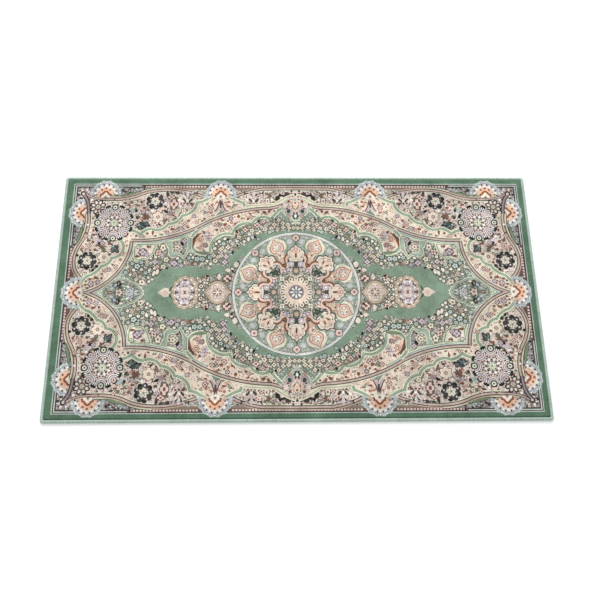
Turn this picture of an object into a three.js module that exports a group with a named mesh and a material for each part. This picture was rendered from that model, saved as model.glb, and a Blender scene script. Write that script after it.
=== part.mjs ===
// Moquette doormat: one slab of woven pile fabric, with an overlocked yarn edge
// that runs round all four sides and grips the fabric's thin ground.
// Units are millimetres. X runs along the long side, Y along the short side,
// and the mat lies on z = 0 with its middle over the origin.
import * as THREE from 'three';

// Size of the whole mat, over the outside of the yarn edge
const matLength = 1100;
const matWidth = 600;
const cornerRadius = 8;

// Overlocked yarn edge, a rounded bead that is flat where it rests
const edgeWidth = 7.5;
const edgeHeight = 7;
const edgeTopRound = 2.5;
const edgeFootRound = 1.4;

// Pile fabric: a thin woven ground with cut pile standing on it
const pileTop = 8;
const pileShoulder = 2.6;
const groundLow = 1.6;
const groundHigh = 4;

// Yarn left outside the ground's edge, and the space left between the two pieces
const yarnOutside = 2.2;
const clearance = 0.3;

// Steps in a quarter turn, of the outline's corners and of the rounded profiles
const cornerSteps = 6;
const roundSteps = 4;

const pileColour = new THREE.Color('#8f9a86');
const yarnColour = new THREE.Color('#9db3a5');

// Points of the mat's outline, moved in by inset, counter-clockwise from above.
// Each corner is a quarter circle that shrinks with the inset down to smallestRadius.
const smallestRadius = 0.8;

function outline(inset) {
  const radius = Math.max(cornerRadius - inset, smallestRadius);
  const x = matLength / 2 - inset - radius;
  const y = matWidth / 2 - inset - radius;
  const corners = [[x, y, 0], [-x, y, 1], [-x, -y, 2], [x, -y, 3]];
  const points = [];
  for (const [cx, cy, quarter] of corners) {
    for (let step = 0; step <= cornerSteps; step += 1) {
      const angle = (quarter + step / cornerSteps) * Math.PI / 2;
      points.push([cx + radius * Math.cos(angle), cy + radius * Math.sin(angle)]);
    }
  }
  return points;
}

// A solid of rings: each profile point { inset, z } is an outline at that inset and
// height, and neighbouring rings are joined by quads. The profile runs up the outside.
// A closed profile joins its last ring to the first; an open one gets two flat caps.
function ringSolid(profile, closed) {
  const rings = profile.map(({ inset, z }) => outline(inset).map(([x, y]) => [x, y, z]));
  const around = rings[0].length;
  const positions = rings.flat(2);
  const index = [];
  const joins = closed ? rings.length : rings.length - 1;
  for (let ring = 0; ring < joins; ring += 1) {
    const low = ring * around;
    const high = ((ring + 1) % rings.length) * around;
    for (let i = 0; i < around; i += 1) {
      const next = (i + 1) % around;
      index.push(low + i, low + next, high + next);
      index.push(low + i, high + next, high + i);
    }
  }
  if (!closed) {
    const top = (rings.length - 1) * around;
    for (let i = 1; i < around - 1; i += 1) {
      index.push(top, top + i, top + i + 1);
      index.push(0, i + 1, i);
    }
  }
  const geometry = new THREE.BufferGeometry();
  geometry.setAttribute('position', new THREE.Float32BufferAttribute(positions, 3));
  geometry.setIndex(index);
  geometry.computeVertexNormals();
  return geometry;
}

// Quarter round of a profile, from one angle to the next about its centre.
// At angle 0 the point lies outwards of the centre, and at 90 degrees above it.
function quarterRound(inset, z, radius, fromDegrees) {
  const points = [];
  for (let step = 0; step <= roundSteps; step += 1) {
    const angle = THREE.MathUtils.degToRad(fromDegrees + 90 * step / roundSteps);
    points.push({ inset: inset - radius * Math.cos(angle), z: z + radius * Math.sin(angle) });
  }
  return points;
}

// The fabric: full thickness inside the yarn edge, and only its ground runs on into it.
// The pile's shoulder rounds over to the flat top.
function pileFabric() {
  const pileEdge = edgeWidth + clearance;
  const groundEdge = yarnOutside + clearance;
  const profile = [
    { inset: pileEdge, z: 0 },
    { inset: pileEdge, z: groundLow },
    { inset: groundEdge, z: groundLow },
    { inset: groundEdge, z: groundHigh },
    { inset: pileEdge, z: groundHigh },
    ...quarterRound(pileEdge + pileShoulder, pileTop - pileShoulder, pileShoulder, 0),
  ];
  return ringSolid(profile, false);
}

// The yarn edge: a bead round the fabric's rim, with a slot on its inner side
// that the ground fills.
function yarnEdge() {
  const slotLow = groundLow - clearance;
  const slotHigh = groundHigh + clearance;
  const foot = edgeFootRound;
  const top = edgeTopRound;
  const profile = [
    ...quarterRound(foot, foot, foot, -90),
    ...quarterRound(top, edgeHeight - top, top, 0),
    ...quarterRound(edgeWidth - top, edgeHeight - top, top, 90),
    { inset: edgeWidth, z: slotHigh },
    { inset: yarnOutside, z: slotHigh },
    { inset: yarnOutside, z: slotLow },
    { inset: edgeWidth, z: slotLow },
    { inset: edgeWidth - foot / 2, z: 0 },
  ];
  return ringSolid(profile, true);
}

function piece(name, geometry, color, roughness) {
  const material = new THREE.MeshStandardMaterial({ color, roughness, metalness: 0 });
  const mesh = new THREE.Mesh(geometry, material);
  mesh.name = name;
  return mesh;
}

const doormat = new THREE.Group();
doormat.add(piece('pile_fabric', pileFabric(), pileColour, 0.95));
doormat.add(piece('yarn_edge', yarnEdge(), yarnColour, 0.9));

export default doormat;
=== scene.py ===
"""Dress of the moquette doormat: pile with its woven carpet pattern, overlocked yarn edge, floor, light
and camera.

Lengths are in metres, but the pattern is drawn in millimetres on one quarter of the mat: u runs in from the
short side and v from the long side, and mirror images about both middle lines make up the rest.
"""

import bpy
import numpy as np
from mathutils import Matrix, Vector
from mathutils.geometry import delaunay_2d_cdt


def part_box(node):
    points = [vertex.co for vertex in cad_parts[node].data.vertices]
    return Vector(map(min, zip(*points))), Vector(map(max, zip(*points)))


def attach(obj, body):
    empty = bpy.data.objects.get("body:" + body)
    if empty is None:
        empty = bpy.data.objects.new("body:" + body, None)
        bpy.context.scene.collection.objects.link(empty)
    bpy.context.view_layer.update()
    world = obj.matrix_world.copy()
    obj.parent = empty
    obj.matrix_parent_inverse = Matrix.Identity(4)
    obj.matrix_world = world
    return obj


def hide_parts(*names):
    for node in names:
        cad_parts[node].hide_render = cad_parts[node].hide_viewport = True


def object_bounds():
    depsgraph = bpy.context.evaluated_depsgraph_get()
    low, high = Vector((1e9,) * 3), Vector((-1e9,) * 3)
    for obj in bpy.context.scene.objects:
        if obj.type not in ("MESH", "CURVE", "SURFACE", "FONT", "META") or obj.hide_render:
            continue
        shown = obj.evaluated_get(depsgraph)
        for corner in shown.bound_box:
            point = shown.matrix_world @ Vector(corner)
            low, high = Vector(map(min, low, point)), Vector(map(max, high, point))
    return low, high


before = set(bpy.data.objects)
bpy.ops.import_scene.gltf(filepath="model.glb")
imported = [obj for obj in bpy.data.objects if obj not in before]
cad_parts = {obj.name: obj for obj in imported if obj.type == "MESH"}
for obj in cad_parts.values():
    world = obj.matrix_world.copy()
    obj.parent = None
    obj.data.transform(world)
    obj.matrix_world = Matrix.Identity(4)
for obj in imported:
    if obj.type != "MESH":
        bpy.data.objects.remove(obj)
cad_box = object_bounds()
SEED = 11
MM = 0.001

# CAD boxes that the dress follows
MAT_LOW, MAT_HIGH = (np.array(corner) for corner in cad_box)
EDGE_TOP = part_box("yarn_edge")[1][2]
PILE_HIGH = np.array(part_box("pile_fabric")[1])
HALF_SIZE = (MAT_HIGH - MAT_LOW)[:2] / 2
PILE_TOP = PILE_HIGH[2]
TONGUE = HALF_SIZE[0] - PILE_HIGH[0]

# pile: rounded shoulder, rim of the flat top, thin ground, swell of the top
SHOULDER = 2.6 * MM
RIM_INSET = 10.4 * MM
GROUND_LOW, GROUND_HIGH = 1.6 * MM, 4.0 * MM
PILE_SWELL = 0.12 * MM
SWELL_WAVES = 13, 19
# how far out the skirt's corners are drawn, against its sides
CORNER_PULL = 0.7
TUFTS_PER_METRE = 920.0
# how far flowers' edges keep to the tufts: 1 for whole tufts
TUFT_SHARE = 0.8
# rows of the skirt that are pile, and the mark of the woven back under them
PILE_ROWS, BACK = 6, -1
WHOLE_TURN = 6.2832
# plain weave of the back: turns of its waves per metre, in radians
WEAVE_TURN = 2 * np.pi * 260

# yarn edge
CORNER_RADIUS = 8.0 * MM
EDGE_WIDTH = 7.5 * MM
STITCH_PITCH = 2.5 * MM
STITCH_LEAN = 1.5 * MM
STITCH_HALF_WIDTH = 0.6 * STITCH_PITCH
STITCH_JITTER = 0.05 * MM
YARN_HALF = 0.75 * MM
YARN_SIDES = 6
# tint of the bead under the stitches, in spreads of the stitches' own: painted shade, darker where it lies
# under them
CORE_SHADE_TINT = -2.0
EDGE_YARN = (184, 203, 190)

# light: sky, lamp, the floor's own glow, and the far backdrop's level that hides the horizon
SKY, LAMP, FLOOR_GLOW, BACKDROP = 0.58, 86, 0.2, 0.73
FLOOR_HALF = 40.0

# quarter of the pattern, in millimetres: half length and width, and how much motifs are drawn in along u
HALF_U, HALF_V = 550.0, 300.0
NARROW = 0.96
# the mat's own unevenness: plain rim that takes it up, creep along the length, and pattern off the middle
BORDER_EASE = 14.0
CREEP, CREEP_SPAN = 4.0, 523.75
OFF_CENTRE_U, OFF_CENTRE_V = 2.2, 1.2
# planar map: step along its frame, snap to the frame, weld, smallest triangle, and where an edge's two sides
# are tested, as shares along it and distance beside it
FRAME_STEP, SNAP, WELD, LEAST_AREA = 25.0, 0.02, 0.004, 1e-7
TEST_SHARES, TEST_BESIDE = (0.08, 0.36, 0.64, 0.92), 0.04

# yarn colours, sRGB from 0 to 255
YARNS = {
    "border": (94, 125, 101), "field": (136, 158, 137), "sage": (165, 184, 166), "teal": (134, 152, 140),
    "thicket": (122, 127, 110), "moss": (126, 140, 112), "olive": (112, 114, 92), "fir": (66, 80, 68),
    "black": (42, 44, 38), "charcoal": (70, 66, 62), "slate": (104, 114, 122), "plum": (106, 84, 86),
    "brown": (114, 90, 78), "umber": (92, 72, 64), "taupe": (148, 128, 114), "rust": (142, 88, 66),
    "rose": (200, 158, 146), "tan": (204, 184, 162), "orange": (240, 190, 158), "peach": (238, 200, 178),
    "pink": (232, 210, 200), "cream": (238, 225, 207), "ivory": (226, 228, 202), "white": (248, 244, 236),
    "lilac": (212, 200, 204), "dust": (200, 180, 169), "mauve": (160, 142, 144), "blue": (172, 184, 186),
    "mist": (196, 206, 200), "grey": (158, 160, 150),
}
# kinds of ground on which tiny flowers are strewn
CORNER, BAND, GARLAND, WEDGE, MEADOW = 1, 2, 3, 4, 5
# tiny flowers: pitch per metre, outline in cells, share of the cells
STREWN_LAYERS = [(185.0, 0.10, 0.85), (105.0, 0.07, 0.5)]
# their yarns, five for each kind of ground, and the outline's yarn for each kind
STREWN = ["cream", "ivory", "white", "olive", "rust", "rust", "ivory", "pink", "umber", "rose",
          "cream", "white", "mist", "tan", "ivory", "mist", "cream", "white", "charcoal", "lilac",
          "lilac", "mist", "cream", "sage", "pink"]
STREWN_DARK = ["umber", "peach", "fir", "black", "thicket"]

# outlines of the pattern with their yarn and kind of tiny flowers, in the order they are laid
PAINTED = []
# sharpest mitre of a ribbon at a corner: its inverse is the most it is stretched
MITRE = 0.55

# frame lines from the rim in: distance along u, along v, yarn
FRAME_LINES = [(21.0, 19.2, "mist"), (23.0, 21.2, "umber"), (25.4, 23.6, "mist"), (28.0, 26.2, "charcoal"),
               (31.0, 29.2, "grey")]
# rows of dashes: pitch, break at the flower on the long side, end beside the flower on the short side
DASH_PITCH, DASH_BREAK, DASH_END = 7.1, (336, 408), 262

# brown stripe with a pale middle, and green line with pale sides: offset from the middle, width, yarn
BROWN_STRIPE = [(0, 8.8, "umber"), (0, 4.4, "dust")]
GREEN_LINE = [(0, 11.0, "ivory"), (0, 5.2, "moss"), (0, 2.2, "sage")]

# outer arch of the corner piece, in three runs: u, v, bulge
ARCH_LEFT = [(57, 264, -0.23), (37.3, 216, -0.12), (50, 175, 0.18), (62, 98, 0)]
ARCH_LOW = [(108, 60.5, 0.12), (174, 51.5, -0.09), (220, 37.8, -0.13), (332, 54, 0)]
ARCH_MID = [(410, 53, -0.08), (473, 33.2, 0), (560, 32.2, 0)]

# green line with cusps, inside the corner piece
CUSP_LINE = [(53, 294, -0.2), (74, 258, 0.22), (102.5, 234, 0.37), (124, 214, 0.7), (141, 168, 0),
             (160, 143.5, -0.24), (186, 153.5, -0.21), (212, 138.8, 0.41), (251.5, 126, 0.34),
             (283, 104, 0.37), (317, 70, 0.14), (339, 61.5, -0.17), (372.5, 51.5, -0.16),
             (406, 61.5, 0.05), (427, 70.5, 0), (429, 79.5, 0)]
# its run from there, under the brown stripe, towards the middle
LINE_RUN = [(433, 79.5, -0.03), (500, 75.5, -0.1), (548, 49, 0)]

# brown stripe between corner piece and field, from its corner up and out
STRIPE_UP = [(168, 171, -0.33), (66, 302, 0)]
STRIPE_OUT = [(168, 169, 0.137), (320, 135.3, -0.07), (400, 99, -0.07), (490, 84.8, 0.165), (552, 53, 0)]

# scalloped line round the field, from the middle of the long side to the big curl
SCALLOPS = [(519, 84, 0.1), (492, 114.5, 0.52), (448, 127, 0.48), (403, 153, 0.58), (352.5, 201, -0.95),
            (322, 143, 0)]

# leaves of the corner piece: u, v, half length, turn, yarn
LEAVES = [
    (185, 137, 10, 30, "black"), (186, 137, 6, 30, "moss"), (196, 127, 15, 20, "black"),
    (197, 126, 9, 22, "slate"), (179, 127, 7, -20, "mauve"), (197, 106, 13, 55, "brown"),
    (191, 98, 9, 150, "olive"), (168, 69, 7, 20, "olive"), (157, 77, 5, 70, "taupe"),
    (146, 71, 6, 20, "charcoal"), (178, 62, 6, 10, "rose"), (244, 94, 8, 30, "black"),
    (254, 99, 11, -20, "mauve"), (265, 113, 7, -30, "brown"), (246, 47, 9, 80, "charcoal"),
    (257, 43, 7, 10, "fir"), (268, 44, 7, 30, "charcoal"), (165, 92, 12, 25, "blue"),
    (104, 193, 12, 70, "olive"), (98, 186, 8, 40, "brown"), (500, 48, 7, 20, "mauve"),
    (498, 41, 6, -20, "olive"), (85, 172, 9, 60, "lilac"), (92, 168, 8, 20, "lilac"),
    (187, 76, 8, 130, "rose"), (55, 185, 7, 40, "rose"), (66, 191, 7, -30, "rose"), (76, 188, 7, 60, "peach"),
    (200, 90, 7, 10, "taupe"), (232, 100, 8, 60, "rose"), (210, 98, 6, 20, "mauve"),
    (120, 230, 9, -40, "moss"), (176, 108, 8, 80, "charcoal"), (186, 112, 6, 20, "rose"),
    (240, 118, 7, 30, "olive"), (130, 185, 8, 30, "fir"),
]

# flowers of the corner piece by kind: u, v, size, and where needed turn and stretch
CORNER_BLOOMS = {
    "seed": [(84, 193, 4), (92, 160, 3), (60, 150, 3), (225, 95, 3), (120, 63, 3), (205, 108, 3),
        (242, 124, 3), (104, 232, 3), (118, 205, 3), (240, 80, 3), (510, 66, 3), (60, 135, 2.4)],
    "coal": [(92, 176, 4), (174, 92, 3.8), (245, 93, 3.6), (243, 81, 3), (83, 244, 4.2), (92, 235, 4),
        (44, 207, 4), (230, 128, 3)],
    "daisy": [(170, 69, 5), (484, 66, 6, 90, 1.5), (286, 92, 6), (66, 256, 5), (158, 98, 5), (98, 158, 5)],
    "ruddy": [(68, 169, 6), (193, 84, 6), (155, 76, 5), (78, 154, 5.5), (490, 52, 6), (118, 178, 6)],
    "rosy": [(262, 74, 9, 90, 1.5), (60, 157, 4.5), (152, 66, 5), (70, 182, 4.6), (473, 68, 5),
        (206, 84, 4.5), (255, 55, 6, 0, 1.3)],
    "violet": [(88, 150, 5), (100, 176, 5), (190, 95, 4.5), (246, 64, 4.4), (330, 62, 4), (416, 60, 4)],
    "green": [(265, 114, 4.5), (512, 40, 5), (176, 104, 4.5), (88, 206, 5), (500, 56, 5)],
    "pearl": [(69, 90, 3.4), (100, 70, 3), (62, 128, 2.6), (135, 74, 3), (212, 92, 3), (84, 160, 3),
        (275, 62, 3), (278, 80, 3.4), (310, 66, 3.4), (494, 62, 3), (435, 62, 3)],
}

# flowers of the cream band
BAND_BLOOMS = {
    "seed": [(203, 151, 3.4), (223, 158, 3), (299, 118, 3.6), (105, 254, 3.6), (178, 157, 3.4),
        (403, 80, 3.2), (69, 281, 3), (74, 289, 3.4), (70, 272, 3), (79, 267, 3.2), (105, 265, 3.4),
        (128, 231, 3)],
    "green": [(236, 154, 4.6), (338, 96, 6), (355, 104, 4.4), (341, 75, 4.4, 60, 1.2), (403, 80, 6, 120, 1.3),
        (104, 254, 4)],
    "ruddy": [(216, 150, 5, 90, 1.4), (262, 140, 6), (298, 135, 5), (332, 119, 5), (391, 80, 4.6),
        (93, 264, 6, 20, 1.2), (351, 97, 4)],
    "violet": [(250, 150, 4.6), (281, 140, 6), (310, 106, 4.6), (82, 278, 6), (98, 274, 5), (120, 244, 4.4)],
    "rosy": [(272, 146, 5), (290, 128, 5), (318, 122, 4.6), (136, 236, 5), (148, 203, 4.4), (190, 158, 4.4),
        (350, 84, 5.5), (114, 244, 4)],
    "blush": [(208, 160, 4), (230, 148, 4), (302, 126, 4), (325, 100, 4), (142, 224, 4), (417, 86, 4)],
}

# flowers of the cream band under the scallops
CURL_BLOOMS = {
    "rosy": [(390, 135, 6), (377, 142, 4.4), (445, 109, 4.4), (364, 128, 5)],
    "dusk": [(337, 196, 3.4), (398, 112, 6), (372, 132, 4)],
    "seed": [(365, 142, 3.6), (416, 106, 4), (438, 113, 3.4), (477, 96, 4, 30, 1.5), (391, 119, 3),
        (379, 117, 3), (500, 92, 3), (336, 148, 3)],
    "ember": [(384, 128, 4), (408, 126, 3.4), (416, 107, 4.4), (488, 92, 3), (444, 100, 3)],
    "blush": [(408, 116, 5), (458, 100, 5), (352, 140, 5)],
    "green": [(375, 126, 6), (510, 88, 4), (457, 95, 4), (426, 112, 5)],
}

# flowers of the field
FIELD_BLOOMS = {
    "bold": [(251, 218, 7), (184, 186, 4.4), (448, 144, 6), (418, 161, 5.4), (296, 226, 5.4)],
    "daisy": [(198, 275, 7.5), (245, 236, 6), (275, 187, 7), (209, 184, 4.6), (364, 221, 6), (205, 236, 5),
        (337, 284, 6.5), (478, 140, 6), (493, 138, 5), (204, 279, 4), (242, 188, 7, 90, 1.4)],
    "bright": [(214, 273, 4), (221, 268, 3.6), (212, 263, 3.4), (170, 256, 4), (177, 244, 4.4),
        (195, 243, 4.2), (224, 253, 4, 110, 1.9), (232, 249, 4, 100, 2), (213, 246, 4, 120, 1.9),
        (225, 240, 3.6), (226, 212, 4), (225, 205, 4), (215, 215, 3.2), (312, 213, 4), (307, 206, 3.6),
        (277, 215, 4), (346, 277, 3.4), (385, 165, 4), (440, 166, 4, 90, 1.6), (362, 190, 4.4),
        (380, 188, 4.4), (430, 172, 4), (461, 151, 4), (466, 146, 3.4), (393, 172, 4), (372, 172, 4),
        (365, 178, 3.6), (405, 244, 3.4, 60, 2), (414, 232, 4, 110, 2), (345, 222, 4), (354, 229, 4.4)],
    "misty": [(185, 235, 7), (205, 251, 5), (159, 250, 4.4), (207, 231, 5), (173, 228, 4.4), (194, 225, 5),
        (283, 222, 5), (303, 214, 5), (322, 217, 6.4), (334, 217, 6.4), (352, 212, 6), (398, 172, 5),
        (489, 148, 5), (382, 178, 5), (497, 145, 4), (463, 166, 4), (425, 148, 4)],
    "violet": [(225, 224, 6.5), (270, 228, 7), (386, 225, 6.5), (389, 211, 6), (286, 233, 5), (291, 170, 6),
        (195, 199, 8), (240, 206, 5), (264, 226, 4), (375, 200, 6), (400, 190, 4.6), (205, 205, 5)],
    "rosy": [(231, 236, 4.4), (180, 253, 4.4), (193, 260, 4), (508, 139, 5), (460, 130, 6, 0, 1.4),
        (475, 120, 5), (232, 200, 6, 130, 1.4), (432, 142, 6), (393, 266, 9), (483, 128, 4.4),
        (415, 150, 5, 90, 1.3), (346, 265, 6, 60, 1.3), (300, 226, 3)],
    "eye": [(184, 268, 4.6), (207, 223, 4), (215, 227, 4), (360, 208, 5), (370, 212, 5), (378, 208, 5),
        (376, 192, 5), (393, 187, 5.4), (403, 178, 4.6), (430, 180, 4), (500, 128, 5.4), (520, 125, 5.4),
        (532, 128, 5.4), (510, 116, 5), (521, 136, 5), (535, 137, 4.6), (545, 137, 4.6), (507, 143, 4),
        (386, 196, 4.6), (470, 135, 4), (485, 118, 4), (350, 240, 3.6), (340, 270, 5), (328, 268, 5)],
    "ruddy": [(184, 210, 6.4), (209, 185, 5.4), (312, 226, 5), (312, 232, 4), (483, 122, 3.6)],
    "coal": [(286, 178, 4, 60, 1.6), (238, 245, 3), (504, 115, 3), (463, 119, 3.4), (254, 240, 3),
        (347, 260, 3, 0, 1.5), (397, 270, 2.6, 60, 1.6), (455, 160, 3.4, 70, 1.6), (415, 182, 3),
        (412, 146, 3, 80, 1.6), (405, 247, 3.6), (404, 200, 3, 100, 1.8), (392, 167, 2.6, 100, 1.7)],
    "cream": [(374, 262, 4.4, 90, 1.8), (395, 245, 5.4), (411, 230, 4.4, 110, 1.6)],
}

# dark ground under the garland: u, v, radius
BUSHES = [
    (195, 262, 22), (180, 245, 16), (210, 240, 26), (222, 222, 18), (240, 232, 14), (236, 200, 18),
    (251, 218, 13), (272, 226, 13), (290, 224, 13), (312, 220, 16), (334, 226, 15), (358, 216, 18),
    (378, 206, 18), (372, 184, 18), (396, 176, 18), (412, 188, 8), (420, 164, 14), (440, 160, 16),
    (448, 144, 14), (470, 140, 14), (490, 138, 14), (510, 130, 16), (532, 132, 14), (545, 134, 12),
    (468, 122, 10), (500, 118, 12), (160, 250, 10), (165, 232, 10), (340, 275, 16), (375, 280, 30),
    (400, 262, 16), (395, 244, 8), (412, 236, 9), (386, 226, 10), (408, 300, 20), (420, 150, 12),
    (440, 134, 10), (425, 218, 8),
]


# outlines

def paint(outline, yarn, sown=0):
    """Lay one outline of yarn over what is there; sown is the kind of tiny flowers strewn on it, 0 for
    none."""
    PAINTED.append((np.asarray(outline, float), yarn, sown))


def polar(reach, degrees):
    """Point at this reach and angle from the origin."""
    return reach * np.cos(np.radians(degrees)), reach * np.sin(np.radians(degrees))


def turned(points, degrees):
    """Points turned about the origin."""
    angle = np.radians(degrees)
    return points @ np.array([[np.cos(angle), np.sin(angle)], [-np.sin(angle), np.cos(angle)]])


def round_shape(points):
    """Regular polygon that stands for a circle of radius 1."""
    angle = np.arange(points) / points * 2 * np.pi
    return np.stack([np.cos(angle), np.sin(angle)], 1)


def lobed(count, notch):
    """Flower outline: each petal has two points at radius 1, with a notch at a smaller radius between
    petals."""
    petal = np.arange(count)[:, None] / count
    angle = (petal + np.array([-0.5, -0.2, 0.2]) / count).ravel() * 2 * np.pi
    radius = np.tile([notch, 1, 1], count)
    return np.stack([radius * np.cos(angle), radius * np.sin(angle)], 1)


def starred(count, waist):
    """Star of this many points, with radius waist between them."""
    angle = np.arange(2 * count) / count * np.pi
    radius = np.tile([1, waist], count)
    return np.stack([radius * np.cos(angle), radius * np.sin(angle)], 1)


def leafed(width, bend=0.0):
    """Leaf from -1 to 1 along x: two parabolas that meet in points, both moved sideways by bend."""
    x = np.linspace(-1, 1, 7)
    rise = 1 - x**2
    upper, lower = (np.stack([x, (bend + side * width) * rise], 1) for side in (1, -1))
    return np.concatenate([upper, lower[5:0:-1]])


def dropped(width):
    """Teardrop with its point at x = 1: a circle pinched towards the point."""
    angle = np.arange(12) / 6 * np.pi
    return np.stack([np.cos(angle), 1.15 * width * np.sin(angle) * np.sin(angle / 2)], 1)


def arcs(knots, step=6.0):
    """Path of circle arcs through knots (u, v, bulge). A bulge is the arc's rise to the left over half
    its chord, so 0 is straight and 1 a half circle; the last knot's is unused."""
    path = []
    for (u, v, bulge), end in zip(knots, knots[1:]):
        start, chord = np.array([u, v]), np.array(end[:2]) - [u, v]
        half_turn = 2 * np.arctan(bulge)
        length = np.hypot(*chord) * (half_turn / np.sin(half_turn) if bulge else 1)
        share = np.arange(max(1, round(length / step))) / max(1, round(length / step))
        if not bulge:
            path.append(start + chord * share[:, None])
            continue
        radius = np.hypot(*chord) / 2 / np.sin(half_turn)
        begin = np.arctan2(chord[1], chord[0]) + half_turn
        swing = begin - 2 * half_turn * share
        sideways, upwards = np.sin(begin) - np.sin(swing), np.cos(swing) - np.cos(begin)
        path.append(start + radius * np.stack([sideways, upwards], 1))
    return np.concatenate(path + [[knots[-1][:2]]])


def whole(half):
    """Closed outline from the half of it on one side of the x axis."""
    return np.concatenate([half, (half * [1, -1])[-2::-1]])


def beside(path, away):
    """The path moved sideways to its left, mitred at its corners."""
    step = np.diff(path, axis=0)
    step /= np.linalg.norm(step, axis=1, keepdims=True)
    left = np.stack([-step[:, 1], step[:, 0]], 1)
    both = np.concatenate([left[:1], left[1:] + left[:-1], left[-1:]])
    both /= np.linalg.norm(both, axis=1, keepdims=True)
    stretch = 1 / np.maximum(MITRE, np.sum(both * np.concatenate([left, left[-1:]]), axis=1, keepdims=True))
    return path + both * stretch * away


def stroke(path, width, yarn, away=0.0):
    """Ribbon of this width along a path."""
    paint(np.concatenate([beside(path, away + width / 2), beside(path, away - width / 2)[::-1]]), yarn)


def stripes(path, rows, side=1):
    """Ribbons beside each other along a path; rows are offset, width, yarn."""
    for away, width, yarn in rows:
        stroke(path, width, yarn, side * away)


# unit shapes: round ones, flowers by their petals, leaves and drops
DISC, SPOT, DOT, CIRCLE = round_shape(9), round_shape(8), round_shape(6), round_shape(36)
ROUND = CIRCLE[::2]
FOUR, FIVE, SIX, EIGHT = lobed(4, 0.6), lobed(5, 0.66), lobed(6, 0.72), lobed(8, 0.75)
LEAF, SLIM, DROP = leafed(0.42), leafed(0.25), dropped(0.72)
BUD = DROP[::2]

# small flowers, from the outermost ring in: share of the size, yarn, outline
BLOOMS = {
    "daisy": [(1.28, "olive", SPOT), (1.0, "cream", FIVE), (0.34, "brown", DOT)],
    "eye": [(1.3, "olive", SPOT), (1.02, "cream", FOUR), (0.36, "taupe", DOT)],
    "bold": [(1.3, "umber", SPOT), (1.0, "ivory", FIVE), (0.36, "taupe", DOT)],
    "bright": [(1.5, "fir", DOT), (1.0, "cream", DOT)],
    "misty": [(1.35, "fir", SPOT), (1.0, "mist", FIVE), (0.3, "olive", DOT)],
    "rosy": [(1.25, "brown", SPOT), (1.0, "pink", FOUR), (0.4, "rust", DOT)],
    "ruddy": [(1.0, "brown", BUD), (0.62, "rust", BUD)],
    "violet": [(1.25, "plum", SPOT), (1.0, "lilac", FOUR), (0.4, "mauve", DOT)],
    "dusk": [(1.0, "plum", SPOT), (0.66, "lilac", FOUR), (0.3, "mauve", DOT)],
    "green": [(1.0, "olive", BUD), (0.55, "sage", BUD)],
    "seed": [(1.0, "brown", DOT)], "ember": [(1.0, "rust", DOT)], "coal": [(1.0, "black", DOT)],
    "pearl": [(1.0, "white", DOT)], "cream": [(1.0, "cream", DOT)], "blush": [(1.0, "pink", DOT)],
}


# ways to lay shapes

def spot(shape, u, v, size, yarn, turn=0.0, stretch=1.0, sown=0):
    """A unit shape of this size, stretched along its own x, turned and set at (u, v)."""
    paint(turned(shape * [size * stretch, size], turn) + [u, v], yarn, sown)


def spots(*rows):
    """Several shapes, one row of spot's values each."""
    for row in rows:
        spot(*row)


def nest(shape, u, v, layers, *lay):
    """One shape at (u, v) in several layers of size and yarn; lay is its turn, stretch and kind of
    flowers."""
    for size, yarn in layers:
        spot(shape, u, v, size, yarn, *lay)


def twins(rows, upright=False):
    """Rows of spot's values laid on both sides of the motif's x axis, or of its y axis where it is
    upright."""
    for side in (-1, 1):
        for shape, x, y, size, yarn, *lay in rows:
            if lay:
                lay[0] = 90 + (lay[0] - 90) * side if upright else lay[0] * side
            spot(shape, *((x * side, y) if upright else (x, y * side)), size, yarn, *lay)


def ring(count, reach, *rows, first=0.0, step=None, aim=1, at=(0, 0)):
    """Rows of shape, size, yarn, stretch and spin at even places on a circle, or on an ellipse where
    reach is a pair; a row goes all the way round before the next. Shapes point outwards, or stand upright
    where aim is 0."""
    for shape, size, yarn, *lay in rows:
        stretch, spin = lay + [1, 0][len(lay):]
        for turn in first + np.arange(count) * (step or 360 / count):
            u, v = np.array(polar(1.0, turn)) * reach + at
            spot(shape, u, v, size, yarn, turn * aim + spin, stretch)


def moved(motif, u, v, turn=0.0, narrow=NARROW):
    """Draw a motif at the origin, then turn it, draw it in along u and carry it to (u, v)."""
    first = len(PAINTED)
    motif()
    for number, (outline, yarn, sown) in enumerate(PAINTED[first:], first):
        PAINTED[number] = (turned(outline, turn) * [narrow, 1] + [u, v], yarn, sown)


def moved_all(*rows):
    """Several motifs, one row of moved's values each."""
    for row in rows:
        moved(*row)


def bloom(kind, places):
    """Small flowers of one kind at places (u, v, size) or (u, v, size, turn, stretch): rings of one level
    are all laid before the next level, so that flowers close together share one outer outline."""
    for share, yarn, shape in BLOOMS[kind]:
        for u, v, size, *lay in places:
            spot(shape, u, v, size * share, yarn, *lay)


def blooms(table):
    """Small flowers of every kind in a table."""
    for kind, places in table.items():
        bloom(kind, places)


# border and corner piece

def frame_lines():
    """Plain border and the lines inside it."""
    bar(0, 0, HALF_U, HALF_V, "border")
    for left, low, yarn in FRAME_LINES:
        bar(left, low, HALF_U, HALF_V, yarn, WEDGE if yarn == "grey" else 0)


def bar(left, low, right, high, yarn, sown=0):
    """Upright rectangle."""
    paint([(left, low), (right, low), (right, high), (left, high)], yarn, sown)


def dashes():
    """Pale dashes between a dark and a brown line, along both sides."""
    bar(184, 22.4, HALF_U, 30.4, "brown")
    bar(184, 22.4, HALF_U, 24.0, "charcoal")
    bar(24.6, 182, 32.6, HALF_V, "plum")
    bar(24.6, 182, 26.4, HALF_V, "charcoal")
    for u in np.arange(189.8, HALF_U, DASH_PITCH):
        if not DASH_BREAK[0] < u < DASH_BREAK[1]:
            bar(u, 25.0, u + 4.6, 29.0, "pink")
    for v in np.arange(188.9, DASH_END, DASH_PITCH):
        bar(27.2, v, 31.0, v + 4.4, "pink")


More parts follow.
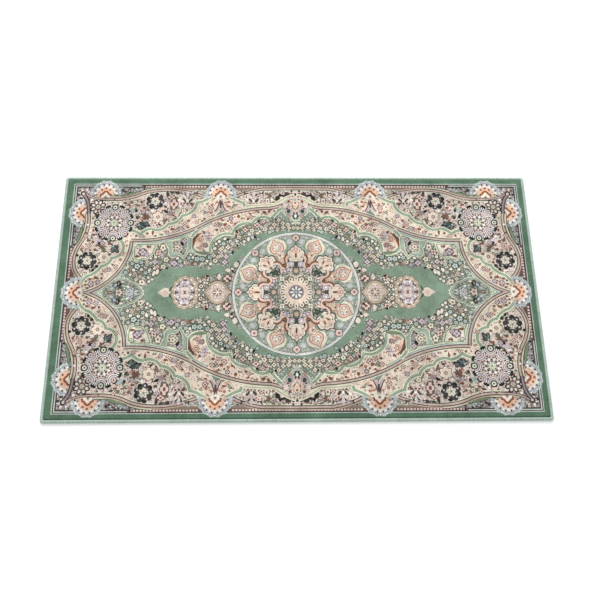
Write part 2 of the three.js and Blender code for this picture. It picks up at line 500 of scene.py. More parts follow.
def corner_leaves():
    """Corner square with its florets."""
    paint([(32, 30), (200, 30), (200, 36), (62, 62), (36, 200), (32, 200)], "mauve", WEDGE)
    bloom("cream", [(41, 36, 3), (53, 36, 2.8), (57, 41, 2.4), (41, 53, 2.8), (38, 46, 2.4)])


def wedge_leaves():
    """Pale leaves and dark blocks in the wedges between frame and arch."""
    for u, v, turn in ((148, 36, 55), (160, 34, 40), (170, 33, 120), (180, 35, 35),
                       (37, 172, 80), (38, 156, 60), (43, 143, 120), (42, 158, 30), (47, 131, 70)):
        nest(LEAF, u, v, [(5.4, "charcoal"), (3.6, "mist")], turn)
    bloom("coal", [(145, 41, 2.4), (158, 30, 2.6), (174, 30, 2.6), (190, 27, 2.8), (34, 180, 3),
                   (33, 162, 2.6), (34, 147, 2.4)])


def corner_ground():
    """Ground of the corner piece inside its outer arch, with its brown and pale stripes and a green
    crescent outside either flank."""
    left, low, mid = arcs(ARCH_LEFT), arcs(ARCH_LOW), arcs(ARCH_MID, 12)
    bar(205, 30.4, HALF_U, 36, "taupe")
    bar(32.6, 185, 40, 262, "brown")
    for path in (left[len(left) // 3:], low[:len(low) * 3 // 5]):
        stripes(path, [(-8.6, 2.4, "fir"), (-6.6, 2.6, "ivory")])
    for u, v, turn, side in ((156, 46.0, -13, 1), (44.6, 154, 103, -1)):
        spot(leafed(0.17, 0.05 * side), u, v, 29, "fir", turn)
        spot(leafed(0.12, 0.04 * side), u, v, 27, "moss", turn)
    paint(np.concatenate([left, [(60, 66)], low, [(338, 50), (404, 50)], mid,
                          [(HALF_U, HALF_V), (57, HALF_V)]]), "pink", CORNER)
    for path in (left, low, mid):
        stripes(path, [(-5.4, 2.0, "tan"), (5.4, 2.4, "ivory")] + BROWN_STRIPE)
    for knots in ([(71, 61.5, 0), (110, 60.5, 0)], [(62, 98, 0), (62, 70, 0)]):
        stripes(arcs(knots), BROWN_STRIPE)


def palmette_cap():
    """Two dark wings over a pale lotus, with a pale stem that ends in a small heart; from its middle
    up."""
    wing = arcs([(2, 6, -0.45), (25, -1, -0.3), (26, -12, 0.5), (20, -5, 0.3), (4, -3, 0)], 5)
    for side in (-1, 1):
        paint(wing * [side, 1], "charcoal")
    twins([(LEAF, 12, -7, 7, "mauve", 125), (SLIM, 12, -7, 5.4, "lilac", 125),
           (LEAF, 6.5, 15, 6, "charcoal", 120), (DOT, 10, 11, 3.0, "charcoal"), (DOT, 8, 22, 2.6, "umber"),
           (DOT, 14, 16, 2.4, "cream")], upright=True)
    spots((SLIM, 0, 2, 8, "lilac", 90), (DOT, 0, 15, 3.2, "white"), (DOT, 0, 22.5, 2.6, "umber"),
          (DROP, 0, -6, 5, "lilac", 90))


def wreath():
    """Ring of dark round lobes with a pale star and a green eye in it."""
    spot(lobed(9, 0.86), 0, 0, 24.3, "cream")
    for turn in range(0, 360, 40):
        spot(DISC, *polar(17.0, turn), 6.7, "black" if turn % 80 else "charcoal")
    spot(ROUND, 0, 0, 16.0, "charcoal")
    ring(9, 21.3, (DOT, 2.0, "mist"), first=20, aim=0)
    ring(5, 16.5, (DOT, 2.4, "lilac"), first=10, aim=0)
    spots((starred(7, 0.55), 0, 0, 14.6, "grey", 46), (lobed(5, 0.6), 0, 0, 11.2, "cream", 10))
    ring(5, 6.4, (SLIM, 3.4, "taupe"), first=10)
    spots((DISC, 0, 0, 3.8, "sage"), (DOT, 0, 0, 1.8, "olive"))


def petal_ring():
    """Dark-edged flower of eight cream petals round a misty eye."""
    nest(EIGHT, 0, 0, [(20.5, "black"), (17.5, "mauve")], 22)
    ring(8, 12.8, (DISC, 4.4, "black", 1.3), (DISC, 3.1, "cream", 1.4), first=22)
    ring(8, 17.5, (DOT, 1.8, "lilac"), aim=0)
    spots((DISC, 0, 0, 7.6, "umber"), (SIX, 0, 0, 6.4, "tan"), (SIX, 0, 0, 3.6, "mist", 30),
          (DOT, 0, 0, 1.6, "olive"))


def corner_rosette():
    """Round star of eight: dark chain of lobes on the rim, dark and white arcs round eight florets, beads
    and petals towards a pale eye."""
    spots((lobed(16, 0.93), 0, 0, 49, "black"), (ROUND, 0, 0, 41.5, "charcoal"))
    ring(8, 44.2, (DOT, 2.6, "mist"), first=11.25, aim=0)
    ring(8, 44.2, (DOT, 2.6, "cream"), first=33.75, aim=0)
    nest(ROUND, 0, 0, [(39.5, "tan"), (35.0, "pink")])
    fan = round_shape(16)[4:13]
    ring(8, 40.2, *((fan, size, yarn) for size, yarn in ((16.2, "charcoal"), (14.8, "white"), (12.4, "plum"),
                                                         (11.0, "lilac"))))
    ring(4, 40.4, (DISC, 8.4, "black"), (DISC, 5.6, "ivory"), (DOT, 2.3, "fir"), aim=0)
    ring(4, 40.4, (DISC, 6.6, "plum"), (DISC, 5.2, "pink"), (DOT, 2.3, "umber"), first=45, aim=0)
    ring(8, 33.5, (DOT, 2.4, "umber"), first=22.5, aim=0)
    ring(8, 24.0, (DOT, 2.6, "plum"), first=22.5, aim=0)
    for first in (35, 10):
        ring(8, 20.6, (DOT, 2.0, "charcoal"), first=first, aim=0)
    ring(8, 15.8, (DISC, 4.2, "plum", 1.35), (DISC, 3.2, "white", 1.35), first=22.5)
    ring(4, 13.8, (DOT, 2.8, "umber"), aim=0)
    ring(4, 13.8, (DOT, 2.8, "fir"), first=45, aim=0)
    spots((EIGHT, 0, 0, 10.8, "charcoal"), (EIGHT, 0, 0, 9.6, "ivory", 22.5))
    ring(8, 6.0, (SLIM, 2.8, "sage"), first=22.5)
    spot(DOT, 0, 0, 2.0, "umber")


def corner_hook():
    """Dark band with a lilac heart that leaves the corner piece's outer arch and hooks into the corner."""
    long_arm = arcs([(61.5, 100, 0.03), (59, 76, 0.14), (45, 48, 0)], 5)
    short_arm = arcs([(104, 60.8, -0.03), (78, 58.5, -0.12), (50, 46, 0)], 5)
    stripes(short_arm, [(0, 6.4, "umber"), (0, 2.8, "dust")])
    stroke(long_arm, 9.6, "charcoal")
    spot(CIRCLE[::3], 44.5, 45.5, 7.0, "charcoal")
    stroke(long_arm, 4.2, "mauve")
    spots((DISC, 45, 46, 3.4, "lilac"), (DOT, 66, 62, 3.6, "white"))


def spray():
    """Open flower of six cream petals with brown edges round a rust eye."""
    ring(6, 8.6, (DISC, 6.4, "brown", 1.2), (DISC, 5.2, "cream", 1.2), (SLIM, 4.0, "peach"))
    spots((DISC, 0, 0, 4.6, "umber"), (FIVE, 0, 0, 3.4, "tan"))


def dark_leaf():
    """Dark lobed leaf with a slate heart and pale veins."""
    spot(LEAF, 0, 0, 15, "black")
    twins([(LEAF, -4, 5, 9, "fir", 35)])
    spots((SLIM, 1, 0, 11, "slate"), (SLIM, -3, 5, 6, "moss", 35), (DOT, -9, 0, 2.4, "mist"))


def dark_scroll():
    """Dark scroll beside the middle: a ball, a bracket that hooks off it, and beads."""
    spot(CIRCLE[::4], 508, 61, 6.2, "black")
    stroke(arcs([(505, 57, 0.3), (513, 48, 0.2), (522, 52, -0.3), (532, 55, 0)], 4), 5.0, "black")
    spots((DISC, 530, 48, 5.8, "charcoal", 30, 1.2), (DOT, 541.5, 46.5, 3.4, "black"),
          (DOT, 541, 39, 2.8, "charcoal"), (DOT, 549, 47.5, 3.4, "black"), (DOT, 516, 57, 2.4, "cream"),
          (DOT, 522, 45.5, 2.6, "lilac"), (DOT, 510, 42, 2.8, "grey"))


def corner_piece():
    """Flowers and leaves on the corner piece's pink ground."""
    for u, v, length, turn, yarn in LEAVES:
        spot(LEAF, u, v, length, yarn, turn)
    blooms(CORNER_BLOOMS)
    moved_all((spray, 106, 212), (spray, 226, 108, 30), (dark_leaf, 131, 191, 50), (dark_leaf, 190, 133, 30),
              (wreath, 217.5, 66), (wreath, 68.5, 220.5, 50), (palmette_cap, 294, 50),
              (palmette_cap, 451, 50))
    dark_scroll()


# flowers that straddle the frame

def half_flower():
    """Big flower spread downwards: two rows of misty petals with dark eyes between them, a peach heart
    with rust seeds under a rust chevron, and cream petals on top."""
    outer, inner = {"first": -181, "step": 26}, {"first": -168, "step": 26}
    ring(8, 31.0, (DISC, 8.2, "blue", 1.15), (DISC, 7.0, "mist", 1.15), (DISC, 4.8, "blue", 1.15), **outer)
    ring(7, 33.5, (SLIM, 5.5, "white"), **inner)
    ring(7, 24.0, (DISC, 7.8, "slate", 1.2), (DISC, 6.9, "mist", 1.2), (DISC, 4.8, "white", 1.2), **inner)
    ring(8, 28.0, (DISC, 4.2, "lilac", 1.2), (BUD, 3.2, "charcoal", 1.2, 180), **outer)
    ring(8, 20.5, (DISC, 4.6, "cream", 1.2), **outer)
    ring(8, 20.5, (DOT, 1.8, "taupe"), aim=0, **outer)
    ring(7, 14.6, (DISC, 8.0, "tan"), (DISC, 7.2, "peach"), first=-177, step=29, aim=0)
    twins([(DISC, 20, 4, 6.4, "tan"), (DISC, 13, 9, 6.4, "cream")], upright=True)
    spots((DISC, 0, -8, 12.4, "orange", 90, 0.9), (DISC, 0, 4, 8.4, "cream", 0, 1.5),
          (DOT, 0, -18.8, 2.8, "rust"))
    twins([(DOT, 10.2, -14.5, 2.8, "rust"), (DOT, 23, -2, 2.9, "taupe"), (DOT, 18.5, -8, 2.4, "tan"),
           (DOT, 6, -20, 2.0, "pink")], upright=True)
    right = arcs([(0, -10.5, -0.3), (6.5, -5.0, 0.35), (12.0, -2.0, 0.3), (14.5, 4.5, 0)], 3)
    stroke(np.concatenate([(right * [-1, 1])[::-1], right[1:]]), 4.4, "rust")
    for side in (-1, 1):
        spots((LEAF, 7 * side, 6, 5.0, "white", 90 + 20 * side),
              (LEAF, 16 * side, 10, 4.0, "brown", 40 * side))
    spots((DOT, 0, -3.5, 2.8, "white"), (DOT, 0, 4.5, 3.3, "taupe"))


def top_motif():
    """Motif on the middle line over the long side: nested pointed arches over a rose heart, with dark
    leaves."""
    for rise, yarn in ((0, "ivory"), (-3.4, "moss"), (-6, "ivory"), (-9, "teal"), (-11.5, "lilac"),
                       (-14, "mauve"), (-16, "pink")):
        arch = arcs([(-34, -6 + rise, 0.15), (-14, 14 + rise, -0.2), (0, 33 + rise, -0.2),
                     (14, 14 + rise, 0.15), (34, -6 + rise, 0), (14, -46, 0), (-14, -46, 0)])
        paint(arch, yarn, CORNER if yarn == "pink" else 0)
    for side in (-1, 1):
        nest(DISC, 17 * side, -5, [(8.4, "mauve"), (6.6, "lilac"), (5.0, "fir")], 70 * side, 1.25)
    twins([(DOT, 21, -12, 2.6, "charcoal"), (FOUR, 17, 9, 5.4, "umber"), (FOUR, 17, 9, 4.0, "rose"),
           (SLIM, 10, -17, 10, "peach", 78), (DOT, 7, -19, 2.4, "rust")], upright=True)
    spots((SIX, 0, 8, 9.0, "fir"), (DROP, 0, 8, 5.0, "white", 90), (DROP, 0, -22, 13, "umber", 90),
          (DROP, 0, -22, 11.6, "cream", 90), (DROP, 0, -23, 7.5, "peach", 90), (DOT, 0, -28, 3, "rust"))


# medallion

def middle_flower():
    """Full round flower in the mat's middle: slate eye with white petals, mauve ring, sixteen peach
    lobes."""
    ring(16, 33.4, (DISC, 6.6, "umber", 1.05), (DISC, 5.6, "cream", 1.05))
    spot(CIRCLE, 0, 0, 30.0, "cream")
    ring(16, 33.6, (BUD, 3.2, "umber", 1, 180))
    ring(16, 29.0, (DOT, 1.6, "brown"), first=11.25, aim=0)
    nest(lobed(16, 0.93), 0, 0, [(26.0, "peach"), (23.4, "cream")])
    nest(ROUND, 0, 0, [(19.0, "rose"), (17.2, "mauve"), (15.2, "slate")])
    ring(8, 9.6, (BUD, 4.6, "white", 1.2, 180))
    spot(DOT, 0, 0, 2.8, "lilac")


def palmette():
    """Broad cream shell round a rosy brown heart whose point looks outwards, with two pale lobes in it."""
    spot(DROP, -24, 0, 18, "tan", 180, 1, BAND)
    shell = whole(arcs([(23, 0, -0.1), (13, 17, -0.3), (-2, 24, -0.55), (-15, 10, -0.1), (-19, 0, 0)]))
    heart = whole(arcs([(1.0, 0, 0.12), (0.3, 0.62, -0.45), (-0.62, 0.5, -0.3), (-0.5, 0, 0)], 0.3))
    nest(shell, 3, 0, [(1.04, "taupe"), (1, "ivory"), (0.84, "cream")])
    nest(heart, 1.5, 0, [(23.5, "brown"), (22.0, "rose"), (19.6, "peach"), (14.6, "brown"), (13.2, "cream")])
    for side, yarn in ((-1, "cream"), (1, "lilac")):
        nest(DISC, -2, 6.2 * side, [(4.6, "taupe"), (3.4, yarn)], 30 * side, 1.15)
    nest(DOT, 7.5, 0, [(2.6, "brown"), (1.3, "lilac")])


def petal_layers(edge, rim, heart, shift):
    """Layers of a big petal from its dark rim to its peach heart, each drawn in towards its tip."""
    for share, yarn in ((rim, "charcoal"), (0.95, "cream"), (0.74, "taupe"), (0.70, "cream"),
                        (heart, "peach")):
        spot(edge, shift * (1 - share), 0, share, yarn)


def axis_petal():
    """Pointed cream petal on a middle line, with a lobed dark edge and a small flower at its tip."""
    petal_layers(whole(arcs([(25, 0, 0.1), (18, 5, -0.6), (11, 13, -0.6), (-2, 20, -0.3), (-18, 15, 0),
                             (-20, 0, 0)], 5)), 1.07, 0.46, 2.0)
    ring(5, 3.8, (DOT, 2.4, "rose"), first=36, aim=0, at=(12, 0))
    spot(DOT, 12, 0, 1.8, "white")
    twins([(SLIM, -1, 7, 8, "cream", 20), (DOT, 8, 9.5, 1.8, "umber"), (SLIM, -9, 12, 6, "peach", 10)])
    spots((SLIM, -3, 0, 9, "umber"), (DOT, -12, 0, 2.4, "cream"))


def diagonal_petal():
    """Squarish cream petal whose dark edge swings out in seven lobes, with lines and seeds inside it."""
    edge = arcs([(24, -4, -0.8), (24, 4, -0.1), (20, 7, -0.7), (14, 16, -0.1), (12, 18, -0.6), (0, 24, -0.2),
                 (-9, 20, 0.2), (-18, 13, 0), (-18, -13, 0.2), (-9, -20, -0.2), (0, -24, -0.6),
                 (12, -18, -0.1), (14, -16, -0.7), (20, -7, -0.1), (24, -4, 0)], 5)
    petal_layers(edge, 1.06, 0.44, 1.6)
    twins([(SLIM, 14, 9, 6, "peach", 35), (DOT, 10, 12.5, 1.8, "umber"), (SLIM, 3, 6, 7, "umber", 25),
           (DOT, -8, 13, 2.4, "moss")])
    spots((FIVE, 15, 0, 4.2, "rose"), (DOT, 15, 0, 1.8, "cream"), (SLIM, 2, 0, 9, "cream"),
          (DROP, -13, 0, 6.0, "moss", 180))


def winged_cusp():
    """Two rust arcs like wings that meet in a point inwards, with peach and pink arcs along their inner
    sides, a tan fill outside them and curl rings at the point."""
    spots((DROP, 24, 0, 14, "tan"), (DOT, 27, 4, 2.6, "cream"), (DOT, 27, -4, 2.6, "cream"),
          (DOT, 19, 0, 3.0, "orange"), (DOT, 32, 0, 2.2, "umber"))
    for side, reach, out in ((-1, 21, 22), (1, 18, 28)):
        wing = arcs([(0, 0, 0.3 * side), (out * 0.55, reach * 0.3 * side, -0.4 * side),
                     (out, reach * side, 0)])
        for shift, width, yarn in ((-9.0, 1.8, "charcoal"), (-6.2, 4.0, "pink"), (-3.4, 2.6, "peach"),
                                   (-1.4, 1.4, "umber"), (0.8, 3.2, "rust")):
            stroke(wing + [shift * 0.8, shift * -0.45 * side], width, yarn)
    twins([(DISC, -8, 4.6, 4.4, "brown", 40, 1.3), (DISC, -8, 4.6, 3.2, "lilac", 40, 1.35)])


def pale_leaves():
    """Two pink crescents with umber edges either side of a dark blot, between the wings."""
    for side in (-1, 1):
        for size, width, yarn in ((14.5, 0.36, "umber"), (12.8, 0.30, "pink"), (8.6, 0.13, "peach")):
            spot(leafed(width, 0.26 * side), 5, 13.5 * side, size, yarn, 32 * side)
    spots((DISC, 7, 0, 6.6, "fir", 90, 1.1), (DOT, 6, 0, 2.2, "olive"))


def lilac_curls():
    """Lilac curls with plum edges either side of a dark leaf, inside the wings on a middle line."""
    for side in (-1, 1):
        nest(DISC, 8, 11.5 * side, [(8.4, "plum"), (7.0, "lilac"), (4.2, "mauve"), (2.6, "white")],
             60 * side, 1.15)
    spots((FOUR, 10, 0, 6.4, "fir", 45), (DISC, -9, 0, 9.4, "fir"), (DISC, -9, 0, 7.8, "taupe"),
          (DOT, -9, 0, 5.2, "tan"))


def bow():
    """Small cream bow of four leaves on dark ground, near the middle flower's edge."""
    nest(starred(4, 0.48), 0, 0, [(10.8, "fir"), (9.4, "cream")])
    spot(DOT, 0, 0, 2.2, "olive")


def rim_bud():
    """Pink bud with a dark edge just inside the medallion's rim, on a short stem between two misty
    leaves."""
    twins([(SIX, -10, 15.5, 8.6, "grey", 60, 1.2), (SIX, -10, 15.5, 6.6, "mist", 60, 1.2),
           (DOT, -10, 15.5, 3.2, "lilac")])
    spot(SLIM, -16, 0, 8, "plum")
    nest(lobed(4, 0.78), 0, 0, [(10.6, "plum"), (8.4, "pink"), (4.6, "rose")])
    spot(DOT, 0, 0, 1.8, "umber")


def medallion():
    """Round medallion in rings and eightfold motifs, of which this quarter shows a fourth."""
    rim = round_shape(72)
    nest(rim, 0, 0, [(151.8, "slate"), (150.8, "white"), (148.7, "grey"), (147.8, "white"),
                     (146.0, "slate")])
    spot(rim, 0, 0, 145.0, "field", 0, 1, MEADOW)
    nest(CIRCLE, 0, 0, [(88, "fir"), (60, "olive")], 0, 1, MEADOW)
    axes, diagonals, between_them = (180, 270), (225,), (157.5, 202.5, 247.5, 292.5)
    for reach, angles, motif in ((120, between_them, palmette), (137, axes, rim_bud),
                                 (139, diagonals, rim_bud), (95, axes, axis_petal),
                                 (96, diagonals, diagonal_petal), (62, axes, lilac_curls),
                                 (62, diagonals, pale_leaves), (67, between_them, winged_cusp),
                                 (47, diagonals, bow)):
        for angle in angles:
            moved(motif, *polar(reach, angle), angle, 1.0)
    ring(4, 49.0, (BUD, 5.0, "fir"), (BUD, 3.8, "sage"), first=191.25, step=22.5)
    middle_flower()


# bands and field

def green_band():
    """Cream band between green line and brown stripe, with its row of flowers, and the pale line's run
    along the stripe towards the middle."""
    line = arcs(CUSP_LINE, 5)
    paint(np.concatenate([line, [(HALF_U, 92), (HALF_U, HALF_V), (53, HALF_V)]]), "cream", BAND)
    stripes(line, GREEN_LINE)
    stripes(arcs(LINE_RUN, 7), [(0, 8.6, "ivory"), (0, 3.0, "tan")])
    blooms(BAND_BLOOMS)


def field_ground():
    """Field inside the brown stripe, the cream band that swings round its scallops, and the tent over the
    flower."""
    up, out = arcs(STRIPE_UP, 7), arcs(STRIPE_OUT, 7)
    paint(np.concatenate([up[::-1], out, [(HALF_U, HALF_V)]]), "teal", GARLAND)
    scallops = arcs(SCALLOPS, 5)
    start = np.searchsorted(out[:, 0], 335)
    paint(np.concatenate([out[start:], [(552, 70)], scallops]), "cream", BAND)
    paint([(205, HALF_V), (206, 285), (226, 264), (243, 242), (285, 236), (352, 236), (388, 226), (406, 200),
           (430, 178), (466, 150), (550, 142), (550, 300)], "field")
    for path, side in ((up, -1), (out[:start + 3], 1)):
        stripes(path, [(6.0, 2.4, "mist"), (8.0, 1.6, "moss"), (10.0, 2.4, "ivory")], side)
    paint([(358, 110), (373, 90), (390, 99), (372, 108)], "teal")
    for path, side in ((up, -1), (out, 1)):
        stripes(path, [(-5.4, 2.6, "ivory")] + BROWN_STRIPE, side)
    stripes(scallops, GREEN_LINE)
    for side in (-1, 1):
        stem = arcs([(373, 62, -0.1 * side), (373 - 11 * side, 94, 0)])
        stripes(stem, [(0, 6.4, "plum"), (-1.0, 2.6, "lilac")], side)
    spot(SLIM, 373, 75, 11, "umber", 90)


def curl_flowers():
    """Brown crescent and flowers inside the big curl, and the flowers of the cream band under the
    scallops."""
    spots((leafed(0.2, 0.1), 334, 199.5, 20, "moss", 4), (leafed(0.2, 0.34), 321, 171, 24, "umber", 118),
          (leafed(0.12, 0.3), 321.5, 171, 20, "rust", 118), (leafed(0.2, 0.2), 326, 168, 20, "peach", 112))
    for u, v, layers in ((328, 166, [(8.4, "brown"), (7.0, "peach"), (4.6, "rust"), (2.4, "cream")]),
                         (339, 182, [(7.0, "plum"), (5.8, "mauve")]),
                         (347, 164, [(8.0, "plum"), (6.8, "lilac"), (4.2, "mauve")]),
                         (342, 153, [(6.4, "plum"), (5.2, "lilac")]),
                         (328, 188, [(5.0, "brown"), (3.6, "rose")])):
        nest(SIX, u, v, layers)
    blooms(CURL_BLOOMS)


def cartouche(knots, rows, yarn, sown=0):
    """Closed shape with lines along its edge; knots run clockwise."""
    path = arcs(knots + knots[:1], 5)
    paint(path, yarn, sown)
    stripes(path, rows, -1)


def field_motifs():
    """Cartouches, garland and pendants on the field."""
    for u, v, size in BUSHES:
        spot(DISC, u, v, size, "thicket", 0, 1, GARLAND)
    cartouche([(174, 177, 0), (174.5, 209, 0.7), (195, 217.5, 0.35), (211, 212, 0.3), (222, 196, 0.1),
               (227, 177, 0)], [(0.4, 2.0, "ivory"), (2.4, 2.0, "moss"), (4.6, 2.2, "ivory")], "cream")
    cartouche([(246, 172, 0.1), (255.5, 190.5, 0), (255, 200, 0.2), (260, 211.5, 0.3), (280, 208, -0.1),
               (291.6, 217, -0.05), (298, 205, -0.2), (309, 193, 0), (309, 160, 0)],
              [(0.6, 2.2, "ivory"), (2.4, 1.2, "olive")], "sage")
    cartouche([(262, 172, 0), (264, 196, 0.4), (279, 200, -0.1), (289.5, 210, 0), (297, 196, 0),
               (298, 165, 0)], [(0, 1.8, "ivory"), (1.8, 1.2, "umber")], "grey", WEDGE)
    spots((lobed(7, 0.8), 196, 200, 12, "mauve", 20), (lobed(7, 0.7), 196, 200, 10.4, "plum", 20))
    nest(EIGHT, 276, 187, [(13, "taupe"), (11.6, "cream")], 20)
    spots((DISC, 276, 187, 7.4, "umber", 20), (SIX, 276, 187, 6.2, "tan", 20),
          (DOT, 276, 187, 3, "cream", 20))
    nest(SIX, 290, 174, [(7.6, "slate"), (6.2, "mist")], 20)
    spots((DOT, 290, 174, 2.8, "slate", 20), (LEAF, 190, 183, 6, "sage", 20))
    ring(7, 6.6, (DISC, 3.0, "lilac"), first=10, aim=0, at=(196, 200))
    blooms(FIELD_BLOOMS)
    moved_all((end_flower, 150, 300), (long_pendant, 297, 300))


def end_flower():
    """Lobed flower at the field's end, on the long middle line: nested pale and green outlines of four
    lobes, and grey and black petals inside round a rosy flower and a misty one."""
    for grow, yarn, sown in ((8.2, "ivory", 0), (6.4, "moss", 0), (4.4, "mist", 0), (2.8, "olive", 0),
                             (1.4, "thicket", GARLAND)):
        for x, size in ((-24, 14), (0, 29), (22, 20), (39, 8)):
            spot(ROUND, x, 0, size + grow, yarn, 0, 1.0, sown)
    twins([(DISC, -21, 9, 8.4, "grey"), (DISC, -13, 17, 7.4, "slate"), (DISC, -4, 22, 7.4, "black"),
           (DISC, 7, 17, 6.4, "moss"), (DISC, 17, 14, 6.2, "grey"), (DISC, 30, 9, 5.0, "slate"),
           (LEAF, -20, 10, 6, "mist", 30), (LEAF, -12, 18, 5.4, "mist", 50), (LEAF, -5, 22, 4.6, "mauve", 80),
           (LEAF, 4, 26, 5, "cream", 10), (LEAF, 8, 16, 5, "mist", -20), (LEAF, 18, 14, 5, "white", -30),
           (LEAF, 29, 10, 4, "lilac", -40), (LEAF, -1, 12.5, 5, "umber", 0), (LEAF, 38, 3.5, 5, "mist", 20)])
    spots((DISC, -3, 0, 9.4, "umber"), (FIVE, -3, 0, 8.6, "cream"), (FIVE, -3, 0, 4.6, "rose"),
          (DOT, -3, 0, 1.8, "umber"))
    nest(SIX, 22, 0, [(11.4, "slate"), (10.2, "mist"), (6.4, "slate"), (5.4, "lilac")], 30)
    spots((DOT, 22, 0, 2.0, "charcoal"), (LEAF, -24, 0, 9, "fir"), (SLIM, -24, 0, 7, "rose"))


def long_pendant():
    """Pendants on the long middle line, from the big flower's middle: a round bud towards the end, the
    flower of lilac petals with tan ones round it, and a pointed round flower towards the medallion."""
    for size, yarn in ((9.2, "umber"), (8.2, "tan"), (4.6, "taupe"), (3.4, "cream")):
        for turn in 90 + np.arange(14) * 360 / 14:
            x, y = polar(1.0, turn)
            spot(DISC, x * 24 + (4 if x > 0 else 0), y * 34, size, yarn, turn)
    spot(lobed(12, 0.86), 0, 0, 23.5, "umber", 90, 1.4)
    ring(8, (14.5, 23), (SIX, 9.6, "mauve"), (SIX, 8.6, "lilac"), first=22.5)
    ring(8, (17, 27), (BUD, 4.0, "white", 1, 180), first=22.5)
    ring(8, (10, 17), (DOT, 2.4, "plum"), first=22.5, aim=0)
    for turn in 22.5 + np.arange(8) * 45:
        spot(DOT, *np.array(polar(4.0, turn + 90)) + np.array(polar(1.0, turn)) * [15, 22], 2.0, "mauve")
    ring(8, (20, 30), (DOT, 2.2, "brown"), aim=0)
    ring(4, (6, 9), (DISC, 8.8, "mauve"), (DISC, 7.8, "pink"), first=45)
    ring(4, (7, 11), (DOT, 2.6, "white"), first=45, aim=0)
    ring(4, (2, 4), (SLIM, 4.0, "plum"), first=45)
    spots((DOT, 0, 0, 2.6, "umber"), (DROP, -51, 0, 15.5, "sage", 180), (DROP, -50, 0, 14.5, "pink", 180),
          (CIRCLE[::3], -46, 0, 11.6, "cream"), (DISC, -45, 0, 7.0, "pink"), (DISC, -44, 0, 4.4, "peach"))
    twins([(SLIM, -34, 9, 8, "fir", 60)])
    for side in (-1, 1):
        for x, y, size, yarn in ((38, 15, 5.2, "cream"), (46, 24, 3.0, "white"), (36, 27, 3.6, "cream"),
                                 (34, 6, 3.4, "ivory"), (29, 36, 3.0, "cream"), (44, 6, 2.6, "white")):
            spots((DISC, x, y * side, size * 1.4, "umber"), (DOT, x, y * side, size, yarn))
    twins([(DOT, 38, 15, 2.2, "fir"), (LEAF, 48, 14, 5, "olive", 40)])
    point = whole(arcs([(-31, 0, 0.1), (-15, -20, -0.4), (15, -20, 0.1), (31, 0, 0)]))
    nest(point, 77, 0, [(1.14, "umber"), (1.08, "tan"), (0.92, "taupe"), (0.87, "cream")])
    ring(8, (15, 13.5), (DISC, 4.8, "taupe", 1.2), (DISC, 3.8, "pink", 1.2), first=22.5, at=(77, 0))
    spots((DISC, 77, 0, 10.0, "umber"), (SIX, 77, 0, 9.0, "pink"))
    ring(6, 5.4, (DOT, 1.8, "olive"), first=30, aim=0, at=(77, 0))
    spots((DOT, 77, 0, 2.8, "cream"), (DOT, 56, 0, 2.4, "rose"), (DOT, 98, 0, 2.4, "rose"))


def draw_pattern():
    """Whole quarter, from the ground up."""
    frame_lines()
    dashes()
    corner_leaves()
    wedge_leaves()
    moved_all((half_flower, 98, 50), (half_flower, 52.5, 97, -90))
    corner_ground()
    corner_piece()
    green_band()
    field_ground()
    curl_flowers()
    field_motifs()
    moved_all((top_motif, 550, 98), (half_flower, 53, 300, -90), (half_flower, 372.5, 49.5))
    corner_hook()
    moved_all((petal_ring, 82.5, 81.5), (corner_rosette, 123.4, 123.2), (medallion, 550, 300))


# planar map

def inside(points, outline):
    """Which points lie in an outline: those with an odd number of its edges to their right."""
    x, y = points[:, :1], points[:, 1:]
    (ax, ay), (bx, by) = outline.T, np.roll(outline, -1, axis=0).T
    crossed = (ay > y) != (by > y)
    where = ax + (y - ay) * (bx - ax) / np.where(by == ay, 1.0, by - ay)
    return np.count_nonzero(crossed & (x < where), axis=1) % 2 == 1


def within_box(points, outline):
    """Indices of the points in an outline's bounding box."""
    low, high = outline.min(axis=0), outline.max(axis=0)
    return np.flatnonzero(np.all((points >= low) & (points <= high), axis=1))


def showing_edges(outlines):
    """Start and end of every outline edge that no later outline covers, tested at its ends and middle."""
    starts = np.concatenate(outlines)
    ends = np.concatenate([np.roll(outline, -1, axis=0) for outline in outlines])
    owner = np.repeat(np.arange(len(outlines)), [len(outline) for outline in outlines])
    middles = (starts + ends) / 2
    shows = np.ones(len(starts), bool)
    for number, outline in enumerate(outlines):
        near = within_box(middles, outline)
        near = near[(owner[near] < number) & shows[near]]
        if len(near):
            for ends_or_middle in (middles, starts, ends):
                near = near[inside(ends_or_middle[near], outline)]
            shows[near] = False
    return starts[shows], ends[shows]


def looks_at(points, painted):
    """Yarn and kind of tiny flowers at each point: those of the last outline over it."""
    names = list(YARNS)
    yarns, kinds = np.zeros((2, len(points)), int)
    bare = np.arange(len(points))
    for outline, yarn, sown in reversed(painted):
        near = within_box(points[bare], outline)
        if len(near):
            near = near[inside(points[bare[near]], outline)]
            yarns[bare[near]], kinds[bare[near]] = names.index(yarn), sown
            bare = np.delete(bare, near)
    return yarns, kinds


def parting_edges(starts, ends, painted):
    """Edges with different looks on their two sides, tested close beside them at four places."""
    along = ends - starts
    beside_edge = np.stack([-along[:, 1], along[:, 0]], 1)
    beside_edge *= TEST_BESIDE / np.maximum(1e-9, np.linalg.norm(along, axis=1, keepdims=True))
    parts = np.zeros(len(starts), bool)
    for share in TEST_SHARES:
        middle = starts + along * share
        left, right = (looks_at(middle + side * beside_edge, painted) for side in (1, -1))
        parts |= (left[0] != right[0]) | (left[1] != right[1])
    return starts[parts], ends[parts]


